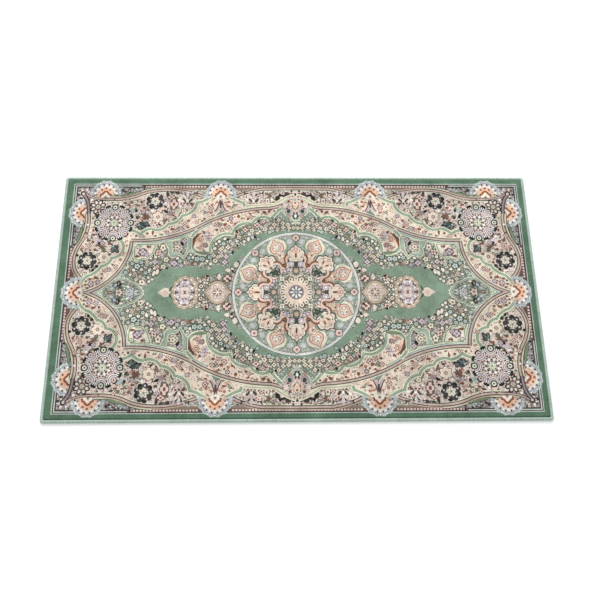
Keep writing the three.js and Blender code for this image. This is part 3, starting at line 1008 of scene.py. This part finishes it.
def frame_edges(low, high):
    """Edges of the quarter's own frame, cut at even steps."""
    steps = np.round((high - low) / FRAME_STEP).astype(int)
    along_u = np.linspace(low[0], high[0], steps[0] + 1)
    along_v = np.linspace(low[1], high[1], steps[1] + 1)
    sides = [np.stack([along_u, np.full_like(along_u, v)], 1) for v in (low[1], high[1])]
    sides += [np.stack([np.full_like(along_v, u), along_v], 1) for u in (low[0], high[0])]
    return np.concatenate([side[:-1] for side in sides]), np.concatenate([side[1:] for side in sides])


def quarter_map(painted, low, high):
    """Triangles of one quarter between two corners, split along every outline that shows; each has the
    yarn of the last outline on it and the kind of flowers strewn there."""
    outlines = [outline for outline, yarn, sown in painted]
    inner = parting_edges(*showing_edges(outlines), painted)
    starts, ends = (np.concatenate(pair) for pair in zip(inner, frame_edges(low, high)))
    points, numbers = np.unique(np.round(np.concatenate([starts, ends]), 2), axis=0, return_inverse=True)
    edges = numbers.reshape(2, -1).T
    edges = edges[edges[:, 0] != edges[:, 1]]
    found = delaunay_2d_cdt([Vector(p) for p in points], edges.tolist(), [], 0, WELD, False)
    points, triangles = np.array([tuple(p) for p in found[0]]), np.array(found[2])
    for corner in (high, low):
        points = np.where(np.abs(points - corner) < SNAP, corner, points)
    a, b, c = (points[triangles[:, corner]] for corner in range(3))
    middles = (a + b + c) / 3
    area = np.cross(b - a, c - a)
    keep = np.all((middles > low) & (middles < high), axis=1) & (np.abs(area) > LEAST_AREA)
    triangles, middles, area = triangles[keep], middles[keep], area[keep]
    triangles[area < 0] = triangles[area < 0][:, ::-1]
    return points, triangles, *looks_at(middles, painted)


def drifted(points):
    """Woven places of pattern points: the pattern sits a little off centre and creeps along the mat's
    length, and the plain border takes that up before the rim."""
    x, y = points.T
    rim = np.array([HALF_U, HALF_V]) - RIM_INSET / MM
    ease = np.clip((rim - np.abs(points)) / BORDER_EASE, 0, 1)
    creep = CREEP * (x / CREEP_SPAN) ** 2 - OFF_CENTRE_U
    return np.stack([x + creep * ease[:, 0], y - OFF_CENTRE_V * ease[:, 1]], 1)


def four_quarters(points, triangles, *values):
    """The quarter and its mirror images about both middle lines, welded where they meet, with the values
    of its triangles; a triangle that welding leaves without three separate corners is dropped."""
    corner = points - [HALF_U, HALF_V]
    sets = [corner * sign for sign in ((1, 1), (-1, 1), (-1, -1), (1, -1))]
    faces = [triangles, triangles[:, ::-1], triangles, triangles[:, ::-1]]
    faces = np.concatenate([face + number * len(points) for number, face in enumerate(faces)])
    everything, numbers = np.unique(np.round(np.concatenate(sets), 3), axis=0, return_inverse=True)
    faces = numbers.reshape(-1)[faces]
    whole = np.all(faces != np.roll(faces, 1, axis=1), axis=1)
    return everything, faces[whole], *(np.tile(value, 4)[whole] for value in values)


# pile

def rim_loop(points, half):
    """Indices of the points on the rim of the rectangle of this half size, in order round it."""
    on_rim = np.flatnonzero(np.any(np.abs(np.abs(points) - half) < 1e-3, axis=1))
    x, y = (points[on_rim] / half).T
    far = 1 - 1e-6
    turn = np.where(y <= -far, x, np.where(x >= far, 2 + y, np.where(y >= far, 4 - x, 6 - y)))
    turn = np.where((x <= -far) & (y <= -far), -1, turn)
    return on_rim[np.argsort(turn)]


def skirt_rows():
    """Rows from the pile's top rim down its rounded shoulder, round the thin ground and in under the mat:
    how far out of the rim, and height."""
    angle = np.radians([22.5, 45, 67.5, 90])
    rows = [(SHOULDER * np.sin(a), PILE_TOP - SHOULDER * (1 - np.cos(a))) for a in angle]
    tongue = RIM_INSET - TONGUE
    return rows + [(SHOULDER, GROUND_HIGH), (tongue, GROUND_HIGH), (tongue, GROUND_LOW),
                   (SHOULDER, GROUND_LOW), (SHOULDER, 0.0)]


def linear(srgb):
    """Linear light of an sRGB value from 0 to 255."""
    value = np.asarray(srgb, float) / 255
    return np.where(value <= 0.04045, value / 12.92, ((value + 0.055) / 1.055) ** 2.4)


def new_mesh(name, points, faces):
    """Object at the origin from arrays of points and faces."""
    mesh = bpy.data.meshes.new(name)
    mesh.from_pydata(points.tolist(), [], [tuple(face) for face in faces])
    mesh.update()
    mesh.polygons.foreach_set("use_smooth", np.ones(len(mesh.polygons), bool))
    made = bpy.data.objects.new(name, mesh)
    bpy.context.scene.collection.objects.link(made)
    return made


def give_uv(made, name, corners):
    """UV map of this name from one pair of numbers for each face corner."""
    layer = made.data.uv_layers.new(name=name)
    layer.data.foreach_set("uv", np.asarray(corners, np.float32).ravel())


def give_values(made, name, kind, domain, field, values):
    """Attribute of this name from an array of values."""
    layer = made.data.attributes.new(name, kind, domain)
    layer.data.foreach_set(field, np.asarray(values, np.float32).ravel())


def corner_points(made):
    """Place of every face corner, and the index of its point."""
    index = np.empty(len(made.data.loops), np.int32)
    made.data.loops.foreach_get("vertex_index", index)
    place = np.empty(len(made.data.vertices) * 3, np.float32)
    made.data.vertices.foreach_get("co", place)
    return place.reshape(-1, 3)[index], index


def pile_sheet():
    """Pile and its ground as one closed sheet: the coloured planar map on top, and rows of quads that
    carry its rim down the shoulder, round the ground's thin margin and on to the flat underside."""
    draw_pattern()
    low, high = np.full(2, RIM_INSET / MM), np.array([HALF_U, HALF_V])
    points, triangles, yarns, kinds = four_quarters(*quarter_map(PAINTED, low, high))
    loop = rim_loop(points, high - low)
    rim = points[loop] * MM
    outward = np.where(np.abs(np.abs(rim) - (HALF_SIZE - RIM_INSET)) < 1e-6, np.sign(rim), 0)
    outward[np.all(outward != 0, axis=1)] *= CORNER_PULL
    rows = [np.column_stack([rim + outward * out, np.full(len(rim), height)])
            for out, height in skirt_rows()]
    top = drifted(points) * MM
    swell = PILE_SWELL * np.sin(top[:, 0] * SWELL_WAVES[0] + 1) * np.sin(top[:, 1] * SWELL_WAVES[1])
    swell[loop] = 0
    places = np.concatenate([np.column_stack([top, PILE_TOP - PILE_SWELL + swell])] + rows)
    starts = [loop] + [len(points) + len(rim) * number + np.arange(len(rim)) for number in range(len(rows))]
    quads = [np.stack([upper, lower, np.roll(lower, -1), np.roll(upper, -1)], 1)
             for upper, lower in zip(starts, starts[1:])]
    faces = triangles.tolist() + np.concatenate(quads).tolist() + [starts[-1][::-1].tolist()]
    made = new_mesh("woven_pile", places, faces)
    names = list(YARNS)
    pile_corners = 4 * len(rim) * PILE_ROWS
    back_corners = 4 * len(rim) * (len(rows) - PILE_ROWS) + len(rim)
    yarn = np.concatenate([np.repeat(yarns, 3), np.full(pile_corners, names.index("border")),
                           np.full(back_corners, names.index("tan"))])
    colours = np.column_stack([linear([YARNS[name] for name in names])[yarn], np.ones(len(yarn))])
    give_values(made, "yarn", "FLOAT_COLOR", "CORNER", "color", colours)
    sown = np.concatenate([np.repeat(kinds, 3), np.zeros(pile_corners, int), np.full(back_corners, BACK)])
    give_values(made, "sown", "FLOAT", "CORNER", "value", sown)
    corners, index = corner_points(made)
    flat = np.concatenate([points, np.tile(points[loop], (len(rows), 1))])
    give_uv(made, "pattern", np.abs(flat)[index] * MM)
    share = corners[:, :2] / (2 * HALF_SIZE) + 0.5
    under = np.arange(len(corners)) >= 3 * len(triangles)
    share[:, 1] = np.where(under, share[:, 1] * 0.06 + 0.005, share[:, 1] * 0.92 + 0.075)
    give_uv(made, "OFBake", share)
    return made


# yarn edge

def rim_path(count):
    """Points, directions and outward normals at even steps along the mat's outline, a rectangle with round
    corners: four straights and four quarter circles, end to end."""
    radius = CORNER_RADIUS
    straight = 2 * (HALF_SIZE - radius)
    bend = np.pi / 2 * radius
    lengths = np.array([straight[0], bend, straight[1], bend] * 2)
    ends = np.cumsum(lengths)
    at = np.arange(count) / count * ends[-1]
    part = np.minimum(np.searchsorted(ends, at, side="right"), 7)
    along = at - (ends - lengths)[part]
    side = part // 2
    angle = side * np.pi / 2 + np.where(part % 2, along / radius, 0)
    direction = np.stack([np.cos(angle), np.sin(angle)], 1)
    normal = np.stack([np.sin(angle), -np.cos(angle)], 1)
    centres = (HALF_SIZE - radius) * np.array([[-1, -1], [1, -1], [1, 1], [-1, 1]])
    centre = np.where((part % 2 == 1)[:, None], centres[(side + 1) % 4], centres[side])
    place = centre + normal * radius + direction * np.where(part % 2, 0, along)[:, None]
    return place, direction, normal


def edge_profile(inset):
    """Middle line of a stitch over the rim, as distance in from the rim and height: up from the pile side,
    over the top, down the outside and in again under the foot."""
    width, height = EDGE_WIDTH, EDGE_TOP
    line = np.array([(width, height * 0.5), (width, height * 0.74), (width * 0.88, height * 0.93),
                     (width * 0.62, height), (width * 0.33, height * 0.96), (width * 0.1, height * 0.78),
                     (0, height * 0.5), (width * 0.04, height * 0.17), (width * 0.25, 0), (width * 0.85, 0)])
    middle = np.array([width, height]) / 2
    return line + (middle - line) / np.array([width, height]) * 2 * inset


def stitches():
    """Overlocking: each stitch is an oval yarn carried along the profile and leaning along the rim, all
    side by side round the mat, closed at both ends. Gives points, faces, the share of the way along each
    stitch, its tint, the number of stitches and the points in each."""
    random = np.random.default_rng(SEED)
    count = int(round(2 * (2 * HALF_SIZE.sum() - 4 * CORNER_RADIUS) / STITCH_PITCH))
    place, direction, normal = rim_path(count)
    profile = edge_profile(YARN_HALF)
    stations = len(profile)
    lean = STITCH_LEAN * np.linspace(-0.5, 0.5, stations) + random.normal(0, STITCH_JITTER, (count, 1))
    profile = profile + random.normal(0, STITCH_JITTER, (count, 1, 1)) * [1, 0]
    middle = np.zeros((count, stations, 3))
    inwards, sideways = normal[:, None] * profile[:, :, :1], direction[:, None] * lean[:, :, None]
    middle[:, :, :2] = place[:, None] - inwards + sideways
    middle[:, :, 2] = profile[:, :, 1]
    forward = np.gradient(middle, axis=1)
    forward /= np.linalg.norm(forward, axis=2, keepdims=True)
    across = np.column_stack([direction, np.zeros(count)])[:, None]
    out = np.cross(forward, across)
    out /= np.linalg.norm(out, axis=2, keepdims=True)
    around = np.arange(YARN_SIDES) / YARN_SIDES * 2 * np.pi
    flat, thick = np.cos(around)[:, None] * STITCH_HALF_WIDTH, np.sin(around)[:, None] * YARN_HALF
    rings = middle[:, :, None] + across[:, :, None] * flat + out[:, :, None] * thick
    rings[..., 2] = np.clip(rings[..., 2], 0, EDGE_TOP)
    per = stations * YARN_SIDES
    ring, turn = np.meshgrid(np.arange(stations - 1), np.arange(YARN_SIDES), indexing="ij")
    a, b = ring * YARN_SIDES + turn, ring * YARN_SIDES + (turn + 1) % YARN_SIDES
    quads = np.stack([a, a + YARN_SIDES, b + YARN_SIDES, b], -1).reshape(-1, 4)
    first = np.arange(YARN_SIDES)
    caps = np.stack([first, first[::-1] + per - YARN_SIDES])
    begin = per * np.arange(count)[:, None, None]
    faces = (quads + begin).reshape(-1, 4).tolist() + (caps + begin).reshape(-1, YARN_SIDES).tolist()
    station = np.tile(np.repeat(np.arange(stations), YARN_SIDES), count) / (stations - 1)
    tint = np.repeat(random.normal(0, 1, count), per)
    return rings.reshape(-1, 3), faces, station, tint, count, per


def edge_core():
    """Closed bead under the stitches: the profile, a yarn's thickness further in, carried round the
    rim."""
    line = edge_profile(2 * YARN_HALF)
    corner = np.radians(np.linspace(0, 90, 7))
    ring = []
    for quarter, signs in enumerate(((1, -1), (1, 1), (-1, 1), (-1, -1))):
        angle = corner + np.radians(90 * (quarter - 1))
        centre = np.tile((HALF_SIZE - CORNER_RADIUS) * signs, (len(angle), 1))
        ring.append(np.column_stack([centre, np.cos(angle), np.sin(angle)]))
    ring = np.concatenate(ring)
    place = ring[:, None, :2] + ring[:, None, 2:] * (CORNER_RADIUS - line[None, :, :1])
    points = np.concatenate([place, np.broadcast_to(line[None, :, 1:], place.shape[:2] + (1,))], 2)
    rows, columns = points.shape[:2]
    row, column = np.meshgrid(np.arange(rows), np.arange(columns), indexing="ij")
    next_row, next_column = (row + 1) % rows, (column + 1) % columns
    faces = np.stack([row * columns + column, next_row * columns + column, next_row * columns + next_column,
                      row * columns + next_column], -1)
    return points.reshape(-1, 3), faces.reshape(-1, 4)


def yarn_edge_piece():
    """Stitches and the bead under them in one piece."""
    points, faces, station, tint, count, per = stitches()
    core_points, core_faces = edge_core()
    faces += (core_faces + len(points)).tolist()
    made = new_mesh("overlocked_edge", np.concatenate([points, core_points]), faces)
    # stitches have their own random tints; the bead's low tint is painted shade under the stitches
    give_values(made, "stitch_tint_and_bead_shade", "FLOAT", "POINT", "value",
                np.concatenate([tint, np.full(len(core_points), CORE_SHADE_TINT)]))
    corners, index = corner_points(made)
    stitch = np.minimum(index // per, count)
    side = int(np.ceil(np.sqrt(count + 1)))
    along = np.append(station, np.zeros(len(core_points)))[index]
    thread = np.stack([(index % per % YARN_SIDES) / (YARN_SIDES - 1), along], 1)
    cell = np.stack([stitch % side, stitch // side], 1)
    give_uv(made, "OFBake", (cell + 0.08 + 0.84 * thread) / side)
    give_uv(made, "thread", thread)
    return made


# materials

def add(tree, kind, settings=None, **inputs):
    """A node of this kind; settings are its own, inputs fill or link its sockets, _ standing for a
    space."""
    made = tree.nodes.new(kind)
    for name, value in (settings or {}).items():
        setattr(made, name, value)
    for name, value in inputs.items():
        label = name.replace("_", " ")
        sockets = [socket for socket in made.inputs if socket.name == label and socket.enabled]
        fill(tree, sockets[0], value)
    return made


def fill(tree, socket, value):
    """Link an output to a socket, or set the socket's number or colour."""
    if isinstance(value, bpy.types.NodeSocket):
        tree.links.new(value, socket)
    else:
        socket.default_value = value


def calc(tree, operation, *values, kind="ShaderNodeMath"):
    """Math node of this operation on up to three values."""
    made = tree.nodes.new(kind)
    made.operation = operation
    for socket, value in zip(made.inputs, values):
        fill(tree, socket, value)
    return made.outputs[0]


def vector_calc(tree, operation, *values):
    """Vector math node of this operation on one or two vectors."""
    return calc(tree, operation, *values, kind="ShaderNodeVectorMath")


def total_of(tree, *values):
    """Product of several values."""
    product = values[0]
    for value in values[1:]:
        product = calc(tree, "MULTIPLY", product, value)
    return product


def grey_of(tree, value):
    """Grey colour of this level."""
    return add(tree, "ShaderNodeCombineColor", None, Red=value, Green=value, Blue=value).outputs[0]


def blend(tree, kind, factor, first, second):
    """Mix of two colours by this kind of blending."""
    made = tree.nodes.new("ShaderNodeMix")
    made.data_type = "RGBA"
    made.blend_type = kind
    for socket, value in zip((made.inputs[0], made.inputs[6], made.inputs[7]), (factor, first, second)):
        fill(tree, socket, value)
    return made.outputs[2]


def ranged(tree, value, low, high, to_low, to_high):
    """Value moved from one range to another and kept inside it."""
    made = add(tree, "ShaderNodeMapRange", None, Value=value)
    for socket, number in zip(made.inputs[1:5], (low, high, to_low, to_high)):
        socket.default_value = number
    return made.outputs[0]


def group(name, ins, outs):
    """Empty node group with these sockets, and its two end nodes."""
    tree = bpy.data.node_groups.new(name, "ShaderNodeTree")
    for way, sockets in (("INPUT", ins), ("OUTPUT", outs)):
        for socket, kind in sockets:
            tree.interface.new_socket(name=socket, in_out=way, socket_type="NodeSocket" + kind)
    return tree, tree.nodes.new("NodeGroupInput"), tree.nodes.new("NodeGroupOutput")


def use_group(tree, shared, **inputs):
    """Node that uses a shared group, its inputs filled or linked."""
    made = tree.nodes.new("ShaderNodeGroup")
    made.node_tree = shared
    for name, value in inputs.items():
        fill(tree, made.inputs[name.replace("_", " ")], value)
    return made


def painted_sheen_group():
    """Painted sheen: soft mottled light and dark over a surface, as the lie of a pile gives it; two noises of
    different size, about 1 on average.
    """
    tree, start, end = group("painted sheen mottle", [("Vector", "Vector"), ("Amount", "Float")],
                             [("Shade", "Float")])
    wide = add(tree, "ShaderNodeTexNoise", None, Vector=start.outputs[0], Scale=26.0, Detail=4.0,
               Roughness=0.6)
    fine = add(tree, "ShaderNodeTexNoise", None, Vector=start.outputs[0], Scale=230.0, Detail=2.0)
    both = calc(tree, "ADD", calc(tree, "MULTIPLY", wide.outputs[0], 0.7),
                calc(tree, "MULTIPLY", fine.outputs[0], 0.3))
    swing = calc(tree, "MULTIPLY", calc(tree, "SUBTRACT", both, 0.5), start.outputs[1])
    tree.links.new(calc(tree, "ADD", 1.0, swing), end.inputs[0])
    return tree


def tufts(tree, place):
    """Cut pile seen from above: a cell for each tuft, high in its middle and low at the gap round it, with
    fibres in it; from this height the pile material paints the tufts bright in the middle and paints shade in
    the gaps. Gives its height, a chance number for each tuft, and the way from a point to the middle of its
    tuft, mirrored into the drawn quarter."""
    cells = add(tree, "ShaderNodeTexVoronoi", None, Vector=place, Scale=TUFTS_PER_METRE, Randomness=0.6)
    chance = add(tree, "ShaderNodeSeparateColor", None, Color=cells.outputs["Color"]).outputs[0]
    gap = ranged(tree, cells.outputs["Distance"], 0.2, 0.8, 0.0, 1.0)
    fibre = add(tree, "ShaderNodeTexNoise", None, Vector=place, Scale=3400.0, Detail=3.0, Roughness=0.7)
    height = calc(tree, "SUBTRACT", calc(tree, "MULTIPLY", fibre.outputs[0], 1.1),
                  calc(tree, "MULTIPLY", gap, gap))
    way = vector_calc(tree, "SUBTRACT", cells.outputs["Position"], place)
    way = vector_calc(tree, "MULTIPLY", way, vector_calc(tree, "SIGN", place))
    return height, chance, way


def plain_weave(tree, place):
    """Over and under of a plain weave, from -1 to 1: sin x times sin y."""
    split = add(tree, "ShaderNodeSeparateXYZ", None, Vector=place)
    across, along = (calc(tree, "SINE", calc(tree, "MULTIPLY", split.outputs[axis], WEAVE_TURN))
                     for axis in range(2))
    return calc(tree, "MULTIPLY", across, along)


def between(tree, share, first, second):
    """Number this share of the way from the first to the second."""
    return calc(tree, "MULTIPLY_ADD", share, calc(tree, "SUBTRACT", second, first), first)


def strewn_group():
    """Tiny flowers and leaves, one to a cell of a Voronoi grid and turned by chance. The flower's edge is
    at a radius of 0.33 + 0.07 cos(5 angle) cells, the leaf's between two parabolas. Gives how deep a
    point lies inside the shape, how near it is to the cell's middle, and a chance number."""
    tree, start, end = group("strewn flowers", [("Vector", "Vector"), ("Pitch", "Float")],
                             [("Depth", "Float"), ("Radius", "Float"), ("Chance", "Float")])
    cells = add(tree, "ShaderNodeTexVoronoi", {"voronoi_dimensions": "2D"}, Vector=start.outputs[0],
                Scale=start.outputs[1], Randomness=0.8)
    chance = add(tree, "ShaderNodeSeparateColor", None, Color=cells.outputs["Color"])
    offset = vector_calc(tree, "SUBTRACT", start.outputs[0], cells.outputs["Position"])
    turn = add(tree, "ShaderNodeVectorRotate", {"rotation_type": "Z_AXIS"}, Vector=offset,
               Angle=calc(tree, "MULTIPLY", chance.outputs[0], WHOLE_TURN))
    place = add(tree, "ShaderNodeSeparateXYZ", None, Vector=turn.outputs[0])
    x, y = (calc(tree, "MULTIPLY", place.outputs[axis], start.outputs[1]) for axis in range(2))
    radius = cells.outputs["Distance"]
    wave = calc(tree, "COSINE", calc(tree, "MULTIPLY", calc(tree, "ARCTAN2", y, x), 5.0))
    flower = calc(tree, "SUBTRACT", calc(tree, "MULTIPLY_ADD", wave, 0.07, 0.33), radius)
    leaf = calc(tree, "SUBTRACT", calc(tree, "MULTIPLY_ADD", calc(tree, "MULTIPLY", x, x), -0.9, 0.19),
                calc(tree, "ABSOLUTE", y))
    pick = calc(tree, "GREATER_THAN", chance.outputs[1], 0.4)
    depth = calc(tree, "ADD", calc(tree, "MULTIPLY", flower, pick),
                 calc(tree, "MULTIPLY", leaf, calc(tree, "SUBTRACT", 1.0, pick)))
    for socket, value in zip(end.inputs, (depth, radius, chance.outputs[2])):
        tree.links.new(value, socket)
    return tree


def table_ramp(tree, position, names):
    """Colour ramp in even steps of these yarns."""
    made = add(tree, "ShaderNodeValToRGB", None, Fac=position)
    ramp = made.color_ramp
    ramp.interpolation = "CONSTANT"
    for number, name in enumerate(names):
        stop = ramp.elements[0] if number == 0 else ramp.elements.new(number / len(names))
        stop.position = number / len(names)
        stop.color = tuple(linear(YARNS[name])) + (1,)
    ramp.elements.remove(ramp.elements[-1])
    return made.outputs[0]


def strewn(tree, strewn_flowers, ground, kind, to_middle):
    """The ground's colour with two layers of tiny flowers over it, small ones first, each in a dark
    outline. Their edges run along the tufts."""
    pattern = vector_calc(tree, "ADD", add(tree, "ShaderNodeUVMap", {"uv_map": "pattern"}).outputs[0],
                          vector_calc(tree, "MULTIPLY", to_middle, (TUFT_SHARE, TUFT_SHARE, 0)))
    grows = calc(tree, "GREATER_THAN", kind, 0.5)
    step = calc(tree, "SUBTRACT", kind, 1.0)
    kinds = len(STREWN_DARK)
    dark = table_ramp(tree, calc(tree, "DIVIDE", calc(tree, "ADD", step, 0.5), kinds), STREWN_DARK)
    colour = ground
    for pitch, rim, share in STREWN_LAYERS:
        here = use_group(tree, strewn_flowers, Vector=pattern, Pitch=pitch).outputs
        present = calc(tree, "MULTIPLY", grows, calc(tree, "LESS_THAN", here[2], share))
        within = calc(tree, "DIVIDE", here[2], share)
        petals = table_ramp(tree, calc(tree, "DIVIDE", calc(tree, "ADD", step, within), kinds), STREWN)
        outline = calc(tree, "MULTIPLY", present, calc(tree, "GREATER_THAN", here[0], -rim))
        petal = total_of(tree, present, calc(tree, "GREATER_THAN", here[0], 0.0),
                         calc(tree, "GREATER_THAN", here[1], 0.1))
        colour = blend(tree, "MIX", petal, blend(tree, "MIX", outline, colour, dark), petals)
    return colour


def finish(name):
    """New material with nodes: its tree, its shader and Object coordinates."""
    made = bpy.data.materials.new(name)
    made.use_nodes = True
    tree = made.node_tree
    shader = tree.nodes["Principled BSDF"]
    return made, tree, shader, tree.nodes.new("ShaderNodeTexCoord").outputs["Object"]


def fabric_gloss(shader, sheen, roughness):
    """Soft matt yarn: little mirror gloss, a soft sheen at grazing angles."""
    shader.inputs["Roughness"].default_value = roughness
    shader.inputs["Specular IOR Level"].default_value = 0.2
    shader.inputs["Sheen Weight"].default_value = sheen
    shader.inputs["Sheen Roughness"].default_value = 0.5
    shader.inputs["Sheen Tint"].default_value = (1, 1, 1, 1)


def pile_material(painted_sheen, strewn_flowers):
    """Cut pile in the pattern's yarns, each tuft a touch lighter or darker, over a plain woven ground;
    painted shade darkens the gaps between tufts and the hollows of the weave, and a painted sheen mottles it
    all.
    """
    made, tree, shader, place = finish("cut pile")
    ground = add(tree, "ShaderNodeAttribute", {"attribute_name": "yarn"}).outputs["Color"]
    kind = add(tree, "ShaderNodeAttribute", {"attribute_name": "sown"}).outputs["Fac"]
    height, chance, to_middle = tufts(tree, place)
    yarn = strewn(tree, strewn_flowers, ground, kind, to_middle)
    # mottled painted sheen over the whole pile
    shade = use_group(tree, painted_sheen, Vector=place, Amount=1.7).outputs[0]
    # each tuft's own random tone, times painted shade from its height: dark in the gaps between tufts,
    # lighter on high fibres
    tuft_shade = calc(tree, "MULTIPLY", ranged(tree, chance, 0, 1, 0.88, 1.12),
                      ranged(tree, height, -0.6, 0.8, 0.65, 1.03))
    woven, back = calc(tree, "LESS_THAN", kind, -0.5), plain_weave(tree, place)
    # the woven back takes painted shade in the hollows of its weave in place of the tufts' shade
    level = between(tree, woven, tuft_shade, ranged(tree, back, -1, 1, 0.78, 1.1))
    grey = grey_of(tree, calc(tree, "MULTIPLY", shade, level))
    tree.links.new(blend(tree, "MULTIPLY", 1.0, yarn, grey), shader.inputs["Base Color"])
    bump = add(tree, "ShaderNodeBump", None, Strength=0.45, Distance=0.0005,
               Height=between(tree, woven, height, back))
    tree.links.new(bump.outputs[0], shader.inputs["Normal"])
    fabric_gloss(shader, 0.12, 0.95)
    return made


def edge_material(painted_sheen):
    """Sage green yarn of the overlocking, twisted, each stitch a touch lighter or darker; painted light and
    shade run along the ply's twist, a painted sheen mottles it, and painted shade darkens the bead under the
    stitches.
    """
    made, tree, shader, place = finish("edge yarn")
    tint = add(tree, "ShaderNodeAttribute", {"attribute_name": "stitch_tint_and_bead_shade"}).outputs["Fac"]
    thread = add(tree, "ShaderNodeUVMap", {"uv_map": "thread"}).outputs[0]
    split = add(tree, "ShaderNodeSeparateXYZ", None, Vector=thread)
    ply = calc(tree, "SINE", calc(tree, "ADD", calc(tree, "MULTIPLY", split.outputs[0], 12.6),
                                  calc(tree, "MULTIPLY", split.outputs[1], 60.0)))
    # mottled painted sheen over the edge yarn
    shade = use_group(tree, painted_sheen, Vector=place, Amount=0.5).outputs[0]
    # level: the stitch's random tint (on the bead, painted shade under the stitches) and painted light and
    # shade along the ply's twist
    level = calc(tree, "ADD", 1.0, calc(tree, "ADD", calc(tree, "MULTIPLY", tint, 0.05),
                                        calc(tree, "MULTIPLY", ply, 0.05)))
    grey = grey_of(tree, calc(tree, "MULTIPLY", shade, level))
    yarn = tuple(linear(EDGE_YARN)) + (1,)
    tree.links.new(blend(tree, "MULTIPLY", 1.0, yarn, grey), shader.inputs["Base Color"])
    bump = add(tree, "ShaderNodeBump", None, Strength=0.4, Distance=0.0004, Height=ply)
    tree.links.new(bump.outputs[0], shader.inputs["Normal"])
    fabric_gloss(shader, 0.1, 0.9)
    return made


# stage

def floor_and_light():
    """Plain white floor, even sky light and one large soft lamp high above the mat."""
    corners = np.array([(-1, -1, 0), (1, -1, 0), (1, 1, 0), (-1, 1, 0)]) * FLOOR_HALF
    floor = new_mesh("floor", corners, [(0, 1, 2, 3)])
    made, tree, shader, place = finish("white floor")
    shader.inputs["Base Color"].default_value = (0.93, 0.93, 0.93, 1)
    shader.inputs["Emission Color"].default_value = (1, 1, 1, 1)
    shader.inputs["Emission Strength"].default_value = FLOOR_GLOW
    shader.inputs["Roughness"].default_value = 1.0
    shader.inputs["Specular IOR Level"].default_value = 0.0
    floor.data.materials.append(made)
    world = bpy.data.worlds.new("sky")
    world.use_nodes = True
    tree, sky = world.node_tree, world.node_tree.nodes["Background"]
    sky.inputs[0].default_value = (0.97, 0.985, 1, 1)
    sky.inputs[1].default_value = SKY
    backdrop = add(tree, "ShaderNodeBackground", None, Color=(1, 1, 1, 1), Strength=BACKDROP)
    ray = add(tree, "ShaderNodeLightPath").outputs["Is Camera Ray"]
    seen = add(tree, "ShaderNodeMixShader", None, Fac=ray)
    tree.links.new(sky.outputs[0], seen.inputs[1])
    tree.links.new(backdrop.outputs[0], seen.inputs[2])
    tree.links.new(seen.outputs[0], tree.nodes["World Output"].inputs[0])
    bpy.context.scene.world = world
    lamp = bpy.data.lights.new("soft lamp", "AREA")
    lamp.size = 2.5
    lamp.energy = LAMP
    held = bpy.data.objects.new("soft_lamp", lamp)
    held.location = (-0.2, 2.25, 2.2)
    held.rotation_euler = (-held.location).to_track_quat("-Z", "Y").to_euler()
    bpy.context.scene.collection.objects.link(held)


def camera():
    """Photo's camera, solved from the mat's four sides."""
    lens = bpy.data.cameras.new("camera")
    lens.lens = 49.45
    lens.sensor_width = 36
    held = bpy.data.objects.new("camera", lens)
    held.location = (-0.0357, -0.7203, 1.7321)
    held.rotation_euler = np.radians([22.1027, -1.134, -0.6265])
    bpy.context.scene.collection.objects.link(held)
    bpy.context.scene.camera = held


camera()
floor_and_light()
# mottled painted sheen, shared by the pile and the edge yarn
painted_sheen = painted_sheen_group()
pile = pile_sheet()
pile.data.materials.append(pile_material(painted_sheen, strewn_group()))
edge = yarn_edge_piece()
edge.data.materials.append(edge_material(painted_sheen))
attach(pile, "root")
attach(edge, "root")
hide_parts("pile_fabric")
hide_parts("yarn_edge")

bpy.context.scene.view_settings.view_transform = "Standard"
